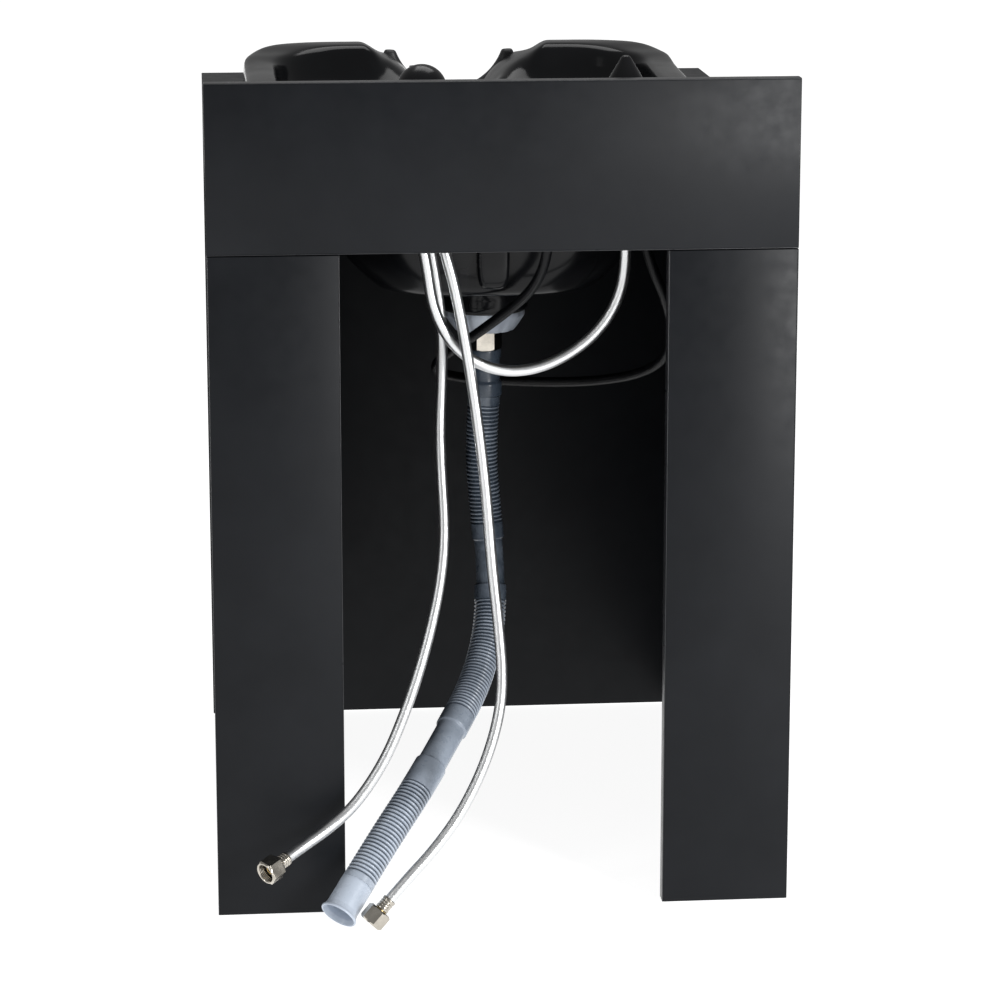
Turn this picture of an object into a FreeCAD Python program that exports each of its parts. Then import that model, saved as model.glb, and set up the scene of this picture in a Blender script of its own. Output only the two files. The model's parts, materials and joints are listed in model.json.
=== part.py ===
import FreeCAD, Part
import math
import os
import re
import Sketcher

# Shampoo backwash unit: a panel cabinet that carries a moulded wash bowl, a single-lever mixer,
# a vacuum breaker, a pull-out hand shower, its hoses and the waste fittings.
# Millimetres, +Z up, floor at z = 0, the stylist's service side at -Y, the client's side at +Y.

DIMENSIONS = (
    ("board", 18, "thickness of the cabinet panels"),
    ("band", 1, "thickness of the edge banding"),
    ("cabinet_width", 600, "over the back panels"),
    ("panel_inset", 3, "side panels stand in from the back panels"),
    ("service_y", -390, "outer face of the back panels"),
    ("client_y", 330, "outer face of the front panel"),
    ("apron_bottom", 697, "underside of the back apron"),
    ("apron_top", 870, "top edge of the back apron"),
    ("leg_width", 133, "width of each back leg board"),
    ("front_gap", 6, "floor gap under the front panel"),
    ("deck_top", 800, "upper face of the deck"),
    ("deck_board_height", 25, "thickness of the deck board"),
    ("strip_width", 40, "width of the strips under the deck"),
    ("neck_slot", 86, "half width of the slot for the neck rest"),
    ("rim_half", 252, "half width of the bowl's rim"),
    ("rim_rear", -275, "rear edge of the bowl's rim"),
    ("rim_front", 312, "front edge of the bowl's shoulders"),
    ("rim_corner", 95, "plan radius of the rim's corners"),
    ("rim_limit", 870, "height above every part of the bowl"),
    ("wall", 5, "wall of the moulded bowl"),
    ("basin_floor", 606, "seat of the strainer, less the moulded wall"),
    ("sump_depth", 15, "drop from the basin's floor to the strainer's seat"),
    ("drain_y", -140, "centre of the drain"),
    ("boss_bottom", 596, "underside of the drain boss"),
    ("neck_radius", 52, "radius of the neck trough"),
    ("neck_axis", 817, "height of the trough's axis"),
    ("spout_front", 382, "front end of the moulded neck trough"),
    ("lip_front", 390, "front face of the neck pad"),
    ("mixer_x", -78, "centre of the mixer"),
    ("mixer_y", -312, "centre of the mixer"),
    ("ball_centre", 853, "pivot height of the mixer lever"),
    ("ball_radius", 21.5, "mixer bonnet"),
    ("breaker_x", 131, "centre of the vacuum breaker"),
    ("breaker_y", -314, "centre of the vacuum breaker"),
    ("shower_x", 53, "centre of the hand shower's bushing"),
    ("shower_y", -305, "centre of the hand shower's bushing"),
    ("shank_radius", 16, "threaded shank of the deck fittings"),
    ("shank_bottom", 742, "lower end of the deck fittings"),
    ("grip_bottom", 728, "lower end of the hand shower's handle"),
    ("collar_height", 12, "swivel collar under the handle"),
    ("ferrule_height", 25, "crimped sleeve on a hose"),
    ("ferrule_radius", 7.3, "crimped sleeve on a hose"),
    ("braid_radius", 5.8, "braided hose"),
    ("spray_radius", 5.5, "black spray hose"),
    ("waste_radius", 17.5, "corrugated waste hose"),
    ("tail_radius", 14, "waste tail pipe"),
    ("coupling_top", 550, "upper end of the waste coupling"),
    ("coupling_bottom", 499, "lower end of the waste coupling"),
    ("nut_flats", 24, "across the flats of the supply nuts"),
    ("nut_length", 18, "length of the supply nuts"),
    ("thread_radius", 9.3, "bore of the supply nuts' thread"),
    ("cuff_length", 40, "cuff on the free end of the waste hose"),
)
ALIASES = {alias for alias, number, note in DIMENSIONS}
WORD = re.compile(r"[a-z][a-z_]*")
FIT = 0.05
CLEAR = 0.4

doc = FreeCAD.newDocument("backwash_unit")
sheet = doc.addObject("Spreadsheet::Sheet", "dims")
for row, (alias, number, note) in enumerate(DIMENSIONS, start=1):
    sheet.set(f"A{row}", alias)
    sheet.set(f"B{row}", str(number))
    sheet.set(f"C{row}", note)
    sheet.setAlias(f"B{row}", alias)
doc.recompute()

nodes = []


def cells(text):
    """Turn the plain aliases of an expression into references to the sheet."""
    return WORD.sub(lambda w: "dims." + w.group() if w.group() in ALIASES else w.group(), str(text))


def number_of(text):
    """Work out the value of an expression now."""
    return float(sheet.evalExpression(cells(text)))


def bind(item, **properties):
    """Bind numeric properties of an object to expressions."""
    for name, text in properties.items():
        item.setExpression(name, cells(text))


def place(item, x=0, y=0, z=0):
    """Bind the position of an object."""
    for axis, text in (("x", x), ("y", y), ("z", z)):
        item.setExpression(f"Placement.Base.{axis}", cells(text))
    return item


def node(item):
    """Mark a finished object as one of the unit's pieces."""
    nodes.append(item)
    return item


def add(kind, name):
    item = doc.addObject(kind, name)
    item.Label = name
    return item


def block(name, x, y, z):
    """A box between two expressions on each axis."""
    item = add("Part::Box", name)
    bind(item, Length=f"({x[1]}) - ({x[0]})", Width=f"({y[1]}) - ({y[0]})", Height=f"({z[1]}) - ({z[0]})")
    return place(item, x[0], y[0], z[0])


def rod(name, radius, low, high, x=0, y=0):
    """An upright cylinder."""
    item = add("Part::Cylinder", name)
    bind(item, Radius=radius, Height=f"({high}) - ({low})")
    return place(item, x, y, low)


def cut(name, base, tools):
    """Take several tools from a base."""
    for index, tool in enumerate(tools):
        result = add("Part::Cut", name if index == len(tools) - 1 else f"{name}_step_{index}")
        result.Base = base
        result.Tool = tool
        base = result
    return base


def fuse(name, shapes):
    item = add("Part::MultiFuse", name)
    item.Shapes = shapes
    return item


def group(name, shapes):
    """Identical separate pieces that share one node."""
    item = add("Part::Compound", name)
    item.Links = shapes
    return item


def origin_plane(body, role):
    return next(item for item in body.Origin.OriginFeatures if item.Role == role)


def new_sketch(body, name, role, offset=None):
    """A sketch on one of the body's own origin planes, moved along its normal by an expression."""
    sketch = body.newObject("Sketcher::SketchObject", name)
    sketch.AttachmentSupport = (origin_plane(body, role), [""])
    sketch.MapMode = "FlatFace"
    if offset is not None:
        sketch.setExpression("AttachmentOffset.Base.z", cells(offset))
    return sketch


def hold(sketch, kind, geometry, point, text):
    """Bind one coordinate of a sketch point to an expression."""
    value = number_of(text)
    if abs(value) < 1e-9:
        axis = -2 if kind == "DistanceX" else -1
        sketch.addConstraint(Sketcher.Constraint("PointOnObject", geometry, point, axis))
        return
    index = sketch.addConstraint(Sketcher.Constraint(kind, -1, 1, geometry, point, value))
    sketch.setExpression(f"Constraints[{index}]", cells(text))


def polygon(body, name, role, points, offset=None):
    """A closed outline whose corners are all bound to the sheet."""
    sketch = new_sketch(body, name, role, offset)
    corners = [FreeCAD.Vector(number_of(u), number_of(v), 0) for u, v in points]
    count = len(corners)
    for index in range(count):
        sketch.addGeometry(Part.LineSegment(corners[index], corners[(index + 1) % count]), False)
    for index in range(count):
        sketch.addConstraint(Sketcher.Constraint("Coincident", index, 2, (index + 1) % count, 1))
    for index, (u, v) in enumerate(points):
        hold(sketch, "DistanceX", index, 1, u)
        hold(sketch, "DistanceY", index, 1, v)
    return sketch


def rounded_outline(body, name, half, rear, front, corner, offset):
    """A plan rectangle with round corners, symmetric about X = 0, at the height of the offset."""
    sketch = new_sketch(body, name, "XY_Plane", offset)
    right, low, high, r = number_of(half), number_of(rear), number_of(front), number_of(corner)
    turns = (
        (right - r, low + r, 270),
        (right - r, high - r, 0),
        (r - right, high - r, 90),
        (r - right, low + r, 180),
    )
    for centre_x, centre_y, start in turns:
        circle = Part.Circle(FreeCAD.Vector(centre_x, centre_y, 0), FreeCAD.Vector(0, 0, 1), r)
        sketch.addGeometry(Part.ArcOfCircle(circle, math.radians(start), math.radians(start + 90)), False)
    for index in range(4):
        following = (index + 1) % 4
        start = sketch.getPoint(index, 2)
        end = sketch.getPoint(following, 1)
        line = sketch.addGeometry(Part.LineSegment(start, end), False)
        sketch.addConstraint(Sketcher.Constraint("Tangent", index, 2, line, 1))
        sketch.addConstraint(Sketcher.Constraint("Tangent", line, 2, following, 1))
        kind = "Vertical" if index % 2 == 0 else "Horizontal"
        sketch.addConstraint(Sketcher.Constraint(kind, line))
    for index in range(1, 4):
        sketch.addConstraint(Sketcher.Constraint("Equal", 0, index))
    radius = sketch.addConstraint(Sketcher.Constraint("Radius", 0, r))
    sketch.setExpression(f"Constraints[{radius}]", cells(corner))
    hold(sketch, "DistanceX", 0, 2, half)
    hold(sketch, "DistanceX", 2, 2, f"-({half})")
    hold(sketch, "DistanceY", 0, 1, rear)
    hold(sketch, "DistanceY", 1, 2, front)
    return sketch


def circle_sketch(body, name, holes, offset):
    """Round holes given as (x, y, radius) expressions, on a horizontal plane."""
    sketch = new_sketch(body, name, "XY_Plane", offset)
    for index, (x, y, radius) in enumerate(holes):
        centre = FreeCAD.Vector(number_of(x), number_of(y), 0)
        sketch.addGeometry(Part.Circle(centre, FreeCAD.Vector(0, 0, 1), number_of(radius)), False)
        size = sketch.addConstraint(Sketcher.Constraint("Radius", index, number_of(radius)))
        sketch.setExpression(f"Constraints[{size}]", cells(radius))
        hold(sketch, "DistanceX", index, 3, x)
        hold(sketch, "DistanceY", index, 3, y)
    return sketch


def new_body(name):
    return add("PartDesign::Body", name)


def pad(body, sketch, length):
    feature = body.newObject("PartDesign::Pad", sketch.Name + "_pad")
    feature.Profile = sketch
    feature.setExpression("Length", cells(length))
    return feature


def pocket(body, sketch, length=None, both_ways=False, upwards=False):
    """Cut a sketch, through everything unless a length is given."""
    feature = body.newObject("PartDesign::Pocket", sketch.Name + "_pocket")
    feature.Profile = sketch
    feature.Reversed = upwards
    if both_ways:
        feature.SideType = "Symmetric"
    if length is None:
        feature.Type = "ThroughAll"
    else:
        feature.setExpression("Length", cells(length))
    return feature


def turned(name, profile, x=0, y=0, z=0):
    """A round piece turned about its own upright axis from (radius, height) corners."""
    body = new_body(name)
    sketch = polygon(body, name + "_profile", "XZ_Plane", profile)
    turn = body.newObject("PartDesign::Revolution", name + "_turn")
    turn.Profile = sketch
    turn.ReferenceAxis = (sketch, ["V_Axis"])
    turn.Angle = 360
    return place(body, x, y, z)


def aim(item, position, direction):
    """Turn a piece that was made along +Z to point along a direction from a position."""
    turn = FreeCAD.Rotation(FreeCAD.Vector(0, 0, 1), FreeCAD.Vector(*direction))
    item.Placement = FreeCAD.Placement(FreeCAD.Vector(*position), turn)
    return item


# ---------------------------------------------------------------- cabinet
HALF = "cabinet_width / 2"
SIDE_OUT = "cabinet_width / 2 - panel_inset"
SIDE_IN = "cabinet_width / 2 - panel_inset - board"
BACK_IN = "service_y + board"
FRONT_IN = "client_y - board"
STRIP_BOTTOM = "deck_top - deck_board_height - board"
DECK_BOTTOM = "deck_top - deck_board_height"


def back_panels():
    """The apron and the two leg boards, with their edge banding."""
    span = (f"-{HALF}", HALF)
    depth = ("service_y", BACK_IN)
    node(block("back_apron", span, depth, ("apron_bottom + band", "apron_top - band")))
    lower = block("apron_band_low", span, depth, ("apron_bottom", "apron_bottom + band"))
    upper = block("apron_band_high", span, depth, ("apron_top - band", "apron_top"))
    node(group("apron_edge_bands", [lower, upper]))
    bands = []
    for side, sign in (("left", "-"), ("right", "")):
        outer = f"{sign}({HALF} - band)"
        inner = f"{sign}({HALF} - leg_width + band)"
        wide = (outer, inner) if sign else (inner, outer)
        node(block(f"back_leg_{side}", wide, depth, ("0", "apron_bottom - band")))
        for place_name, start in (("outer", HALF), ("inner", f"{HALF} - leg_width + band")):
            edges = (f"{sign}({start})", f"{sign}({start} - band)")
            edges = edges if sign else edges[::-1]
            bands.append(block(f"leg_band_{side}_{place_name}", edges, depth, ("0", "apron_bottom - band")))
    node(group("leg_edge_bands", bands))


def cabinet_panels():
    """Side panels, front panel and the strips that thicken the deck's edge."""
    for side, edges in (("left", (f"-({SIDE_OUT})", f"-({SIDE_IN})")), ("right", (SIDE_IN, SIDE_OUT))):
        node(block(f"side_panel_{side}", edges, (BACK_IN, FRONT_IN), ("0", STRIP_BOTTOM)))
    node(block("front_panel", (f"-{HALF}", HALF), (FRONT_IN, "client_y"), ("front_gap", STRIP_BOTTOM)))
    level = (STRIP_BOTTOM, DECK_BOTTOM)
    strips = []
    sides = (("left", (f"-{HALF}", f"-{HALF} + strip_width")), ("right", (f"{HALF} - strip_width", HALF)))
    for side, edges in sides:
        strips.append(block(f"deck_strip_{side}", edges, (BACK_IN, "client_y - strip_width"), level))
    for side, edges in (("left", (f"-{HALF}", "-neck_slot")), ("right", ("neck_slot", HALF))):
        strips.append(block(f"deck_strip_front_{side}", edges, ("client_y - strip_width", "client_y"), level))
    node(group("deck_edge_strips", strips))


def deck():
    """The deck board with the bowl's opening, the neck slot and three holes for the fittings."""
    body = new_body("deck_board")
    corners = ((f"-{HALF}", BACK_IN), (HALF, BACK_IN), (HALF, "client_y"), (f"-{HALF}", "client_y"))
    pad(body, polygon(body, "deck_outline", "XY_Plane", corners, DECK_BOTTOM), "deck_board_height")
    opening = rounded_outline(body, "deck_opening", "rim_half - 26", "rim_rear + 11", "rim_front - 40", "80",
                              "deck_top")
    pocket(body, opening)
    front = "client_y + 1"
    inside = "rim_front - 80"
    slot = (("-neck_slot", inside), ("neck_slot", inside), ("neck_slot", front), ("-neck_slot", front))
    pocket(body, polygon(body, "deck_neck_slot", "XY_Plane", slot, "deck_top"))
    holes = []
    for fitting in ("mixer", "breaker", "shower"):
        holes.append((f"{fitting}_x", f"{fitting}_y", "shank_radius + 0.5"))
    pocket(body, circle_sketch(body, "deck_fitting_holes", holes, "deck_top"))
    node(body)


def bracket(corner, x_way, y_way, z):
    """An angle bracket in a vertical corner between two panels, with a screw into each panel."""
    leaf, sheet_metal, tall = 18, 2, 40
    hole = 12
    x, y = number_of(corner[0]), number_of(corner[1])
    first = Part.makeBox(leaf, sheet_metal, tall)
    second = Part.makeBox(sheet_metal, leaf, tall)
    angle = first.fuse(second).removeSplitter()
    head, shank, reach = 4, 1.8, 12
    screws = []
    spots = (((0, -1, 0), (hole, sheet_metal, tall / 2)), ((-1, 0, 0), (sheet_metal, hole, tall / 2)))
    for direction, spot in spots:
        axis = FreeCAD.Vector(*direction)
        start = FreeCAD.Vector(*spot)
        screw = Part.makeCylinder(head, 2, start - axis * 2, axis)
        screws.append(screw.fuse(Part.makeCylinder(shank, reach, start, axis)).removeSplitter())
        angle = angle.cut(Part.makeCylinder(shank, reach, start, axis))
    matrix = FreeCAD.Matrix(x_way, 0, 0, x, 0, y_way, 0, y, 0, 0, 1, z)
    return [shape.transformGeometry(matrix) for shape in (angle, *screws)]


def brackets():
    """Angle brackets in the four corners of the cabinet."""
    angles, screws = [], []
    for x_edge, x_way in ((f"-({SIDE_IN})", 1), (SIDE_IN, -1)):
        for y_edge, y_way in ((BACK_IN, 1), (FRONT_IN, -1)):
            for height in (120, 620):
                angle, first, second = bracket((x_edge, y_edge), x_way, y_way, height)
                angles.append(angle)
                screws += [first, second]
    for name, shapes in (("angle_brackets", angles), ("bracket_screws", screws)):
        item = add("Part::Feature", name)
        item.Shape = Part.makeCompound(shapes)
        node(item)


# ---------------------------------------------------------------- bowl
def bowl():
    """One moulded shell: raised rim, deep basin with a drain sump, overflow duct and neck trough."""
    body = new_body("bowl")
    rim = rounded_outline(body, "rim_outline", "rim_half", "rim_rear", "rim_front", "rim_corner", "deck_top")
    pad(body, rim, "rim_limit - deck_top")
    hollow = (("-180", "deck_top - 1"), ("200", "deck_top - 1"), ("200", "deck_top + 22"),
              ("100", "deck_top + 16"), ("-180", "deck_top + 5"))
    pocket(body, polygon(body, "rim_hollow", "YZ_Plane", hollow), "2 * (rim_half - wall)", both_ways=True)
    outer = (
        ("low", "basin_floor + sump_depth", "120", "-236", "10", "80"),
        ("middle", "basin_floor + 52", "151", "-250", "64", "85"),
        ("high", "deck_top", "218", "-255", "262", "88"),
        ("top", "rim_limit", "228", "-262", "292", "90"),
    )
    loft(body, "basin_outer", outer, "PartDesign::AdditiveLoft")
    spout_bottom = "neck_axis - neck_radius - wall"
    spout = (("-neck_slot + 6", spout_bottom), ("neck_slot - 6", spout_bottom),
             ("neck_slot - 6", "neck_axis"), ("-neck_slot + 6", "neck_axis"))
    front = polygon(body, "spout_outline", "XZ_Plane", spout, "-(spout_front)")
    pad(body, front, "spout_front - 200")
    duct = (("-18", "-262"), ("18", "-262"), ("18", "-225"), ("-18", "-225"))
    channel = polygon(body, "overflow_duct", "XY_Plane", duct, "basin_floor + 28")
    pad(body, channel, "deck_top - basin_floor - 28")
    boss = circle_sketch(body, "drain_boss", (("0", "drain_y", "48"),), "boss_bottom")
    pad(body, boss, "basin_floor + sump_depth + 4 - boss_bottom")
    above = (("rim_rear - 1", "deck_top + 8"), ("-180", "deck_top + 12"), ("115", "deck_top + 22"),
             ("230", "deck_top + 33"), ("285", "deck_top + 40"), ("rim_front", "deck_top + 26"),
             ("rim_front + 1", "rim_limit + 1"), ("rim_rear - 1", "rim_limit + 1"))
    pocket(body, polygon(body, "rim_profile", "YZ_Plane", above), both_ways=True)
    inner = []
    for (name, height, half, rear, front, corner), rise in zip(outer, ("6", "2", "1", "1")):
        inner.append((name, f"{height} + {rise}", f"{half} - wall", f"{rear} + wall", f"{front} - wall",
                      f"{corner} - wall"))
    loft(body, "basin_inner", inner, "PartDesign::SubtractiveLoft")
    trough = circle_sketch_upright(body, "neck_trough", "neck_radius", "neck_axis", "-(spout_front + 1)")
    pocket(body, trough, "spout_front + 1 - 190", upwards=True)
    sump = circle_sketch(body, "drain_sump", (("0", "drain_y", "44"),), "basin_floor + sump_depth + 20")
    pocket(body, sump, "sump_depth + 14")
    drain = circle_sketch(body, "drain_hole", (("0", "drain_y", "21"),), "basin_floor + 20")
    pocket(body, drain, "40")
    node(body)


def loft(body, name, sections, kind):
    """A ruled loft through rounded plan outlines."""
    sketches = []
    for label, height, half, rear, front, corner in sections:
        sketches.append(rounded_outline(body, f"{name}_{label}", half, rear, front, corner, height))
    feature = body.newObject(kind, name)
    feature.Profile = sketches[0]
    feature.Sections = sketches[1:]
    feature.Ruled = True
    return feature


def circle_sketch_upright(body, name, radius, height, offset):
    """A circle on an upright plane that faces the client."""
    sketch = new_sketch(body, name, "XZ_Plane", offset)
    centre = FreeCAD.Vector(0, number_of(height), 0)
    sketch.addGeometry(Part.Circle(centre, FreeCAD.Vector(0, 0, 1), number_of(radius)), False)
    size = sketch.addConstraint(Sketcher.Constraint("Radius", 0, number_of(radius)))
    sketch.setExpression(f"Constraints[{size}]", cells(radius))
    hold(sketch, "DistanceX", 0, 3, "0")
    hold(sketch, "DistanceY", 0, 3, height)
    return sketch


def neck_pad():
    """The soft collar over the end of the neck trough, with a pointed tip on each side."""
    body = new_body("neck_rest_pad")
    bottom = "neck_axis - neck_radius - wall - 4"
    face = (("-neck_slot + 4", bottom), ("neck_slot - 4", bottom), ("neck_slot - 4", "neck_axis - 3"),
            ("70", "neck_axis + 10"), ("52", "neck_axis - 8"), ("-52", "neck_axis - 8"),
            ("-70", "neck_axis + 10"), ("-neck_slot + 4", "neck_axis - 3"))
    pad(body, polygon(body, "pad_face", "XZ_Plane", face, "-lip_front"), "lip_front - spout_front")
    trough = circle_sketch_upright(body, "pad_trough", "neck_radius - 6", "neck_axis", "-(lip_front + 1)")
    pocket(body, trough, "lip_front - spout_front + 2", upwards=True)
    node(body)


# ---------------------------------------------------------------- waste
def waste():
    """Strainer flange, basket, gasket, nuts, tail and coupling, from the basin downwards."""
    top = "basin_floor + 6"
    flange = (("43", top), ("42", f"{top} + 2.5"), ("20", f"{top} + 2"), ("18", "boss_bottom"),
              ("12", "boss_bottom - 22"), ("12", "coupling_bottom + 4"),
              ("tail_radius", "coupling_bottom + 4"), ("tail_radius", "boss_bottom - 20"),
              ("20", "boss_bottom - 6"), ("20", top))
    node(turned("drain_flange", flange, y="drain_y"))
    basket = (("0", "basin_floor - 6"), ("15", "basin_floor - 6"), ("17.4", f"{top} + 2.4"),
              ("24", f"{top} + 2.9"), ("24", f"{top} + 4.4"), ("16", f"{top} + 4.4"),
              ("13.8", "basin_floor - 4.5"), ("3", "basin_floor - 4.5"), ("3", f"{top} + 1"),
              ("5", f"{top} + 5"), ("5", f"{top} + 8"), ("0", f"{top} + 8"))
    node(turned("hair_basket", basket, y="drain_y"))
    gasket = (("20.5", "boss_bottom - 2"), ("44", "boss_bottom - 2"), ("44", "boss_bottom"),
              ("20.5", "boss_bottom"))
    node(turned("drain_gasket", gasket, y="drain_y"))
    locknut = (("20.2", "boss_bottom - 24"), ("33", "boss_bottom - 24"), ("37", "boss_bottom - 18"),
               ("44", "boss_bottom - 8"), ("44", "boss_bottom - 2"), ("20.2", "boss_bottom - 2"))
    node(turned("drain_locknut", locknut, y="drain_y"))
    nut = add("Part::Prism", "tail_nut_hexagon")
    bind(nut, Circumradius="tail_radius + 5", Height="boss_bottom - 24 - coupling_top")
    place(nut, 0, "drain_y", "coupling_top")
    bore = rod("tail_nut_bore", "tail_radius + 0.05", "coupling_top - 1", "boss_bottom", 0, "drain_y")
    node(cut("tail_nut", nut, [bore]))
    coupling = (("tail_radius + 0.05", "coupling_bottom + 4"), ("tail_radius + 0.05", "coupling_top"),
                ("tail_radius + 4", "coupling_top"), ("tail_radius + 4", "coupling_top - 10"),
                ("tail_radius + 2.5", "coupling_top - 12"), ("tail_radius + 2.5", "coupling_bottom + 16"),
                ("tail_radius + 5", "coupling_bottom + 14"), ("tail_radius + 5", "coupling_bottom"),
                ("12", "coupling_bottom"), ("12", "coupling_bottom + 4"))
    node(turned("drain_coupling", coupling, y="drain_y"))


# ---------------------------------------------------------------- deck fittings
def under_deck(fitting):
    """The washer and the nut that clamp a fitting under the deck."""
    x, y = f"{fitting}_x", f"{fitting}_y"
    outer = "shank_radius + 7"
    washer = rod(f"{fitting}_washer_disc", outer, f"{DECK_BOTTOM} - 2", DECK_BOTTOM, x, y)
    bore = rod(f"{fitting}_washer_bore", "shank_radius + 0.2", f"{DECK_BOTTOM} - 3", "deck_top", x, y)
    node(cut(f"{fitting}_washer", washer, [bore]))
    nut = add("Part::Prism", f"{fitting}_nut_hexagon")
    bind(nut, Circumradius="shank_radius + 7", Height="8")
    place(nut, x, y, f"{DECK_BOTTOM} - 10")
    thread = rod(f"{fitting}_nut_bore", "shank_radius + 0.05", f"{DECK_BOTTOM} - 12", "deck_top", x, y)
    node(cut(f"{fitting}_nut", nut, [thread]))


def mixer():
    """Single-lever mixer: body, cartridge, bonnet, carrier, stem and lever."""
    x, y = "mixer_x", "mixer_y"
    gasket = (("shank_radius + 0.5", "deck_top"), ("26", "deck_top"), ("26", "deck_top + 1.5"),
              ("shank_radius + 0.5", "deck_top + 1.5"))
    node(turned("mixer_gasket", gasket, x, y))
    body = (("0", "shank_bottom"), ("shank_radius", "shank_bottom"), ("shank_radius", "deck_top + 1.5"),
            ("25", "deck_top + 1.5"), ("25", "deck_top + 4.5"), ("19", "deck_top + 8"),
            ("19", "deck_top + 40"), ("15", "deck_top + 40"), ("15", "deck_top + 14"), ("0", "deck_top + 14"))
    node(turned("mixer_body", body, x, y))
    cartridge = (("0", "deck_top + 14"), ("14.9", "deck_top + 14"), ("14.9", "deck_top + 38"),
                 ("10.5", "deck_top + 38"), ("10.5", "deck_top + 30"), ("0", "deck_top + 30"))
    node(turned("mixer_cartridge", cartridge, x, y))
    ball = add("Part::Sphere", "mixer_bonnet_ball")
    bind(ball, Radius="ball_radius")
    place(ball, x, y, "ball_centre")
    hollow = add("Part::Sphere", "mixer_bonnet_hollow")
    bind(hollow, Radius="ball_radius - 3.5")
    place(hollow, x, y, "ball_centre")
    below = rod("mixer_bonnet_base", "40", "ball_centre - 40", "deck_top + 40", x, y)
    mouth = rod("mixer_bonnet_mouth", "ball_radius - 6.5", "ball_centre", "ball_centre + 40", x, y)
    node(cut("mixer_bonnet", ball, [hollow, below, mouth]))
    carrier = rod("mixer_carrier_disc", "10", "deck_top + 30.3", "ball_centre - 6", x, y)
    cheeks = []
    for side, low, high in (("left", "-9", "-4"), ("right", "4", "9")):
        across = (f"mixer_x + ({low})", f"mixer_x + ({high})")
        along = ("mixer_y - 3.5", "mixer_y + 3.5")
        cheeks.append(block(f"mixer_cheek_{side}", across, along, ("ball_centre - 7", "ball_centre + 3.5")))
    pin = add("Part::Cylinder", "mixer_pivot_pin")
    bind(pin, Radius="1.5", Height="16")
    pin.Placement.Rotation = FreeCAD.Rotation(FreeCAD.Vector(0, 1, 0), 90)
    place(pin, "mixer_x - 8", "mixer_y", "ball_centre")
    node(fuse("mixer_carrier", [carrier, *cheeks, pin]))
    eye = add("Part::Cylinder", "mixer_stem_eye")
    bind(eye, Radius="3.8", Height="7")
    eye.Placement.Rotation = FreeCAD.Rotation(FreeCAD.Vector(0, 1, 0), 90)
    place(eye, "mixer_x - 3.5", "mixer_y", "ball_centre")
    shaft = rod("mixer_stem_shaft", "3.2", "ball_centre + 1", "ball_centre + ball_radius + 1.5", x, y)
    hole = add("Part::Cylinder", "mixer_stem_hole")
    bind(hole, Radius="1.55", Height="20")
    hole.Placement.Rotation = FreeCAD.Rotation(FreeCAD.Vector(0, 1, 0), 90)
    place(hole, "mixer_x - 10", "mixer_y", "ball_centre")
    node(cut("mixer_stem", fuse("mixer_stem_blank", [eye, shaft]), [hole]))
    lever(x, y)


def lever(x, y):
    """A domed cap over the bonnet with a flat arm towards the bowl."""
    shell = add("Part::Sphere", "lever_dome")
    bind(shell, Radius="ball_radius + 4.5")
    place(shell, x, y, "ball_centre")
    arm = block("lever_arm", ("mixer_x - 7", "mixer_x + 7"), ("mixer_y + 5", "mixer_y + 92"),
                ("ball_centre + 7", "ball_centre + 14"))
    tip = rod("lever_tip", "7", "ball_centre + 7", "ball_centre + 14", x, "mixer_y + 92")
    solid = fuse("lever_blank", [shell, arm, tip])
    inside = add("Part::Sphere", "lever_hollow")
    bind(inside, Radius="ball_radius + 0.5")
    place(inside, x, y, "ball_centre")
    skirt = rod("lever_skirt", "40", "ball_centre - 40", "ball_centre + 2", x, y)
    socket = rod("lever_socket", "3.2", "ball_centre + 2", "ball_centre + ball_radius + 1.5", x, y)
    node(cut("mixer_lever", solid, [inside, skirt, socket]))


def breaker():
    """Vacuum breaker: body with a seat, floating poppet and a tapered bonnet."""
    x, y = "breaker_x", "breaker_y"
    body = (("0", "shank_bottom"), ("shank_radius", "shank_bottom"), ("shank_radius", "deck_top"),
            ("24", "deck_top"), ("24", "deck_top + 4"), ("18", "deck_top + 6"), ("18", "deck_top + 46"),
            ("13", "deck_top + 46"), ("13", "deck_top + 28"), ("8", "deck_top + 28"), ("8", "deck_top + 16"),
            ("0", "deck_top + 16"))
    node(turned("breaker_body", body, x, y))
    poppet = (("0", "deck_top + 20"), ("3", "deck_top + 20"), ("3", "deck_top + 28.4"),
              ("12", "deck_top + 28.4"), ("12", "deck_top + 33"), ("3", "deck_top + 33"),
              ("3", "deck_top + 60"), ("0", "deck_top + 60"))
    node(turned("breaker_poppet", poppet, x, y))
    bonnet = (("3.4", "deck_top + 46"), ("24", "deck_top + 46"), ("24", "deck_top + 52"),
              ("5", "deck_top + 84"), ("3", "deck_top + 86"), ("0", "deck_top + 86"), ("0", "deck_top + 72"),
              ("3.4", "deck_top + 72"))
    node(turned("breaker_bonnet", bonnet, x, y))


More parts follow.
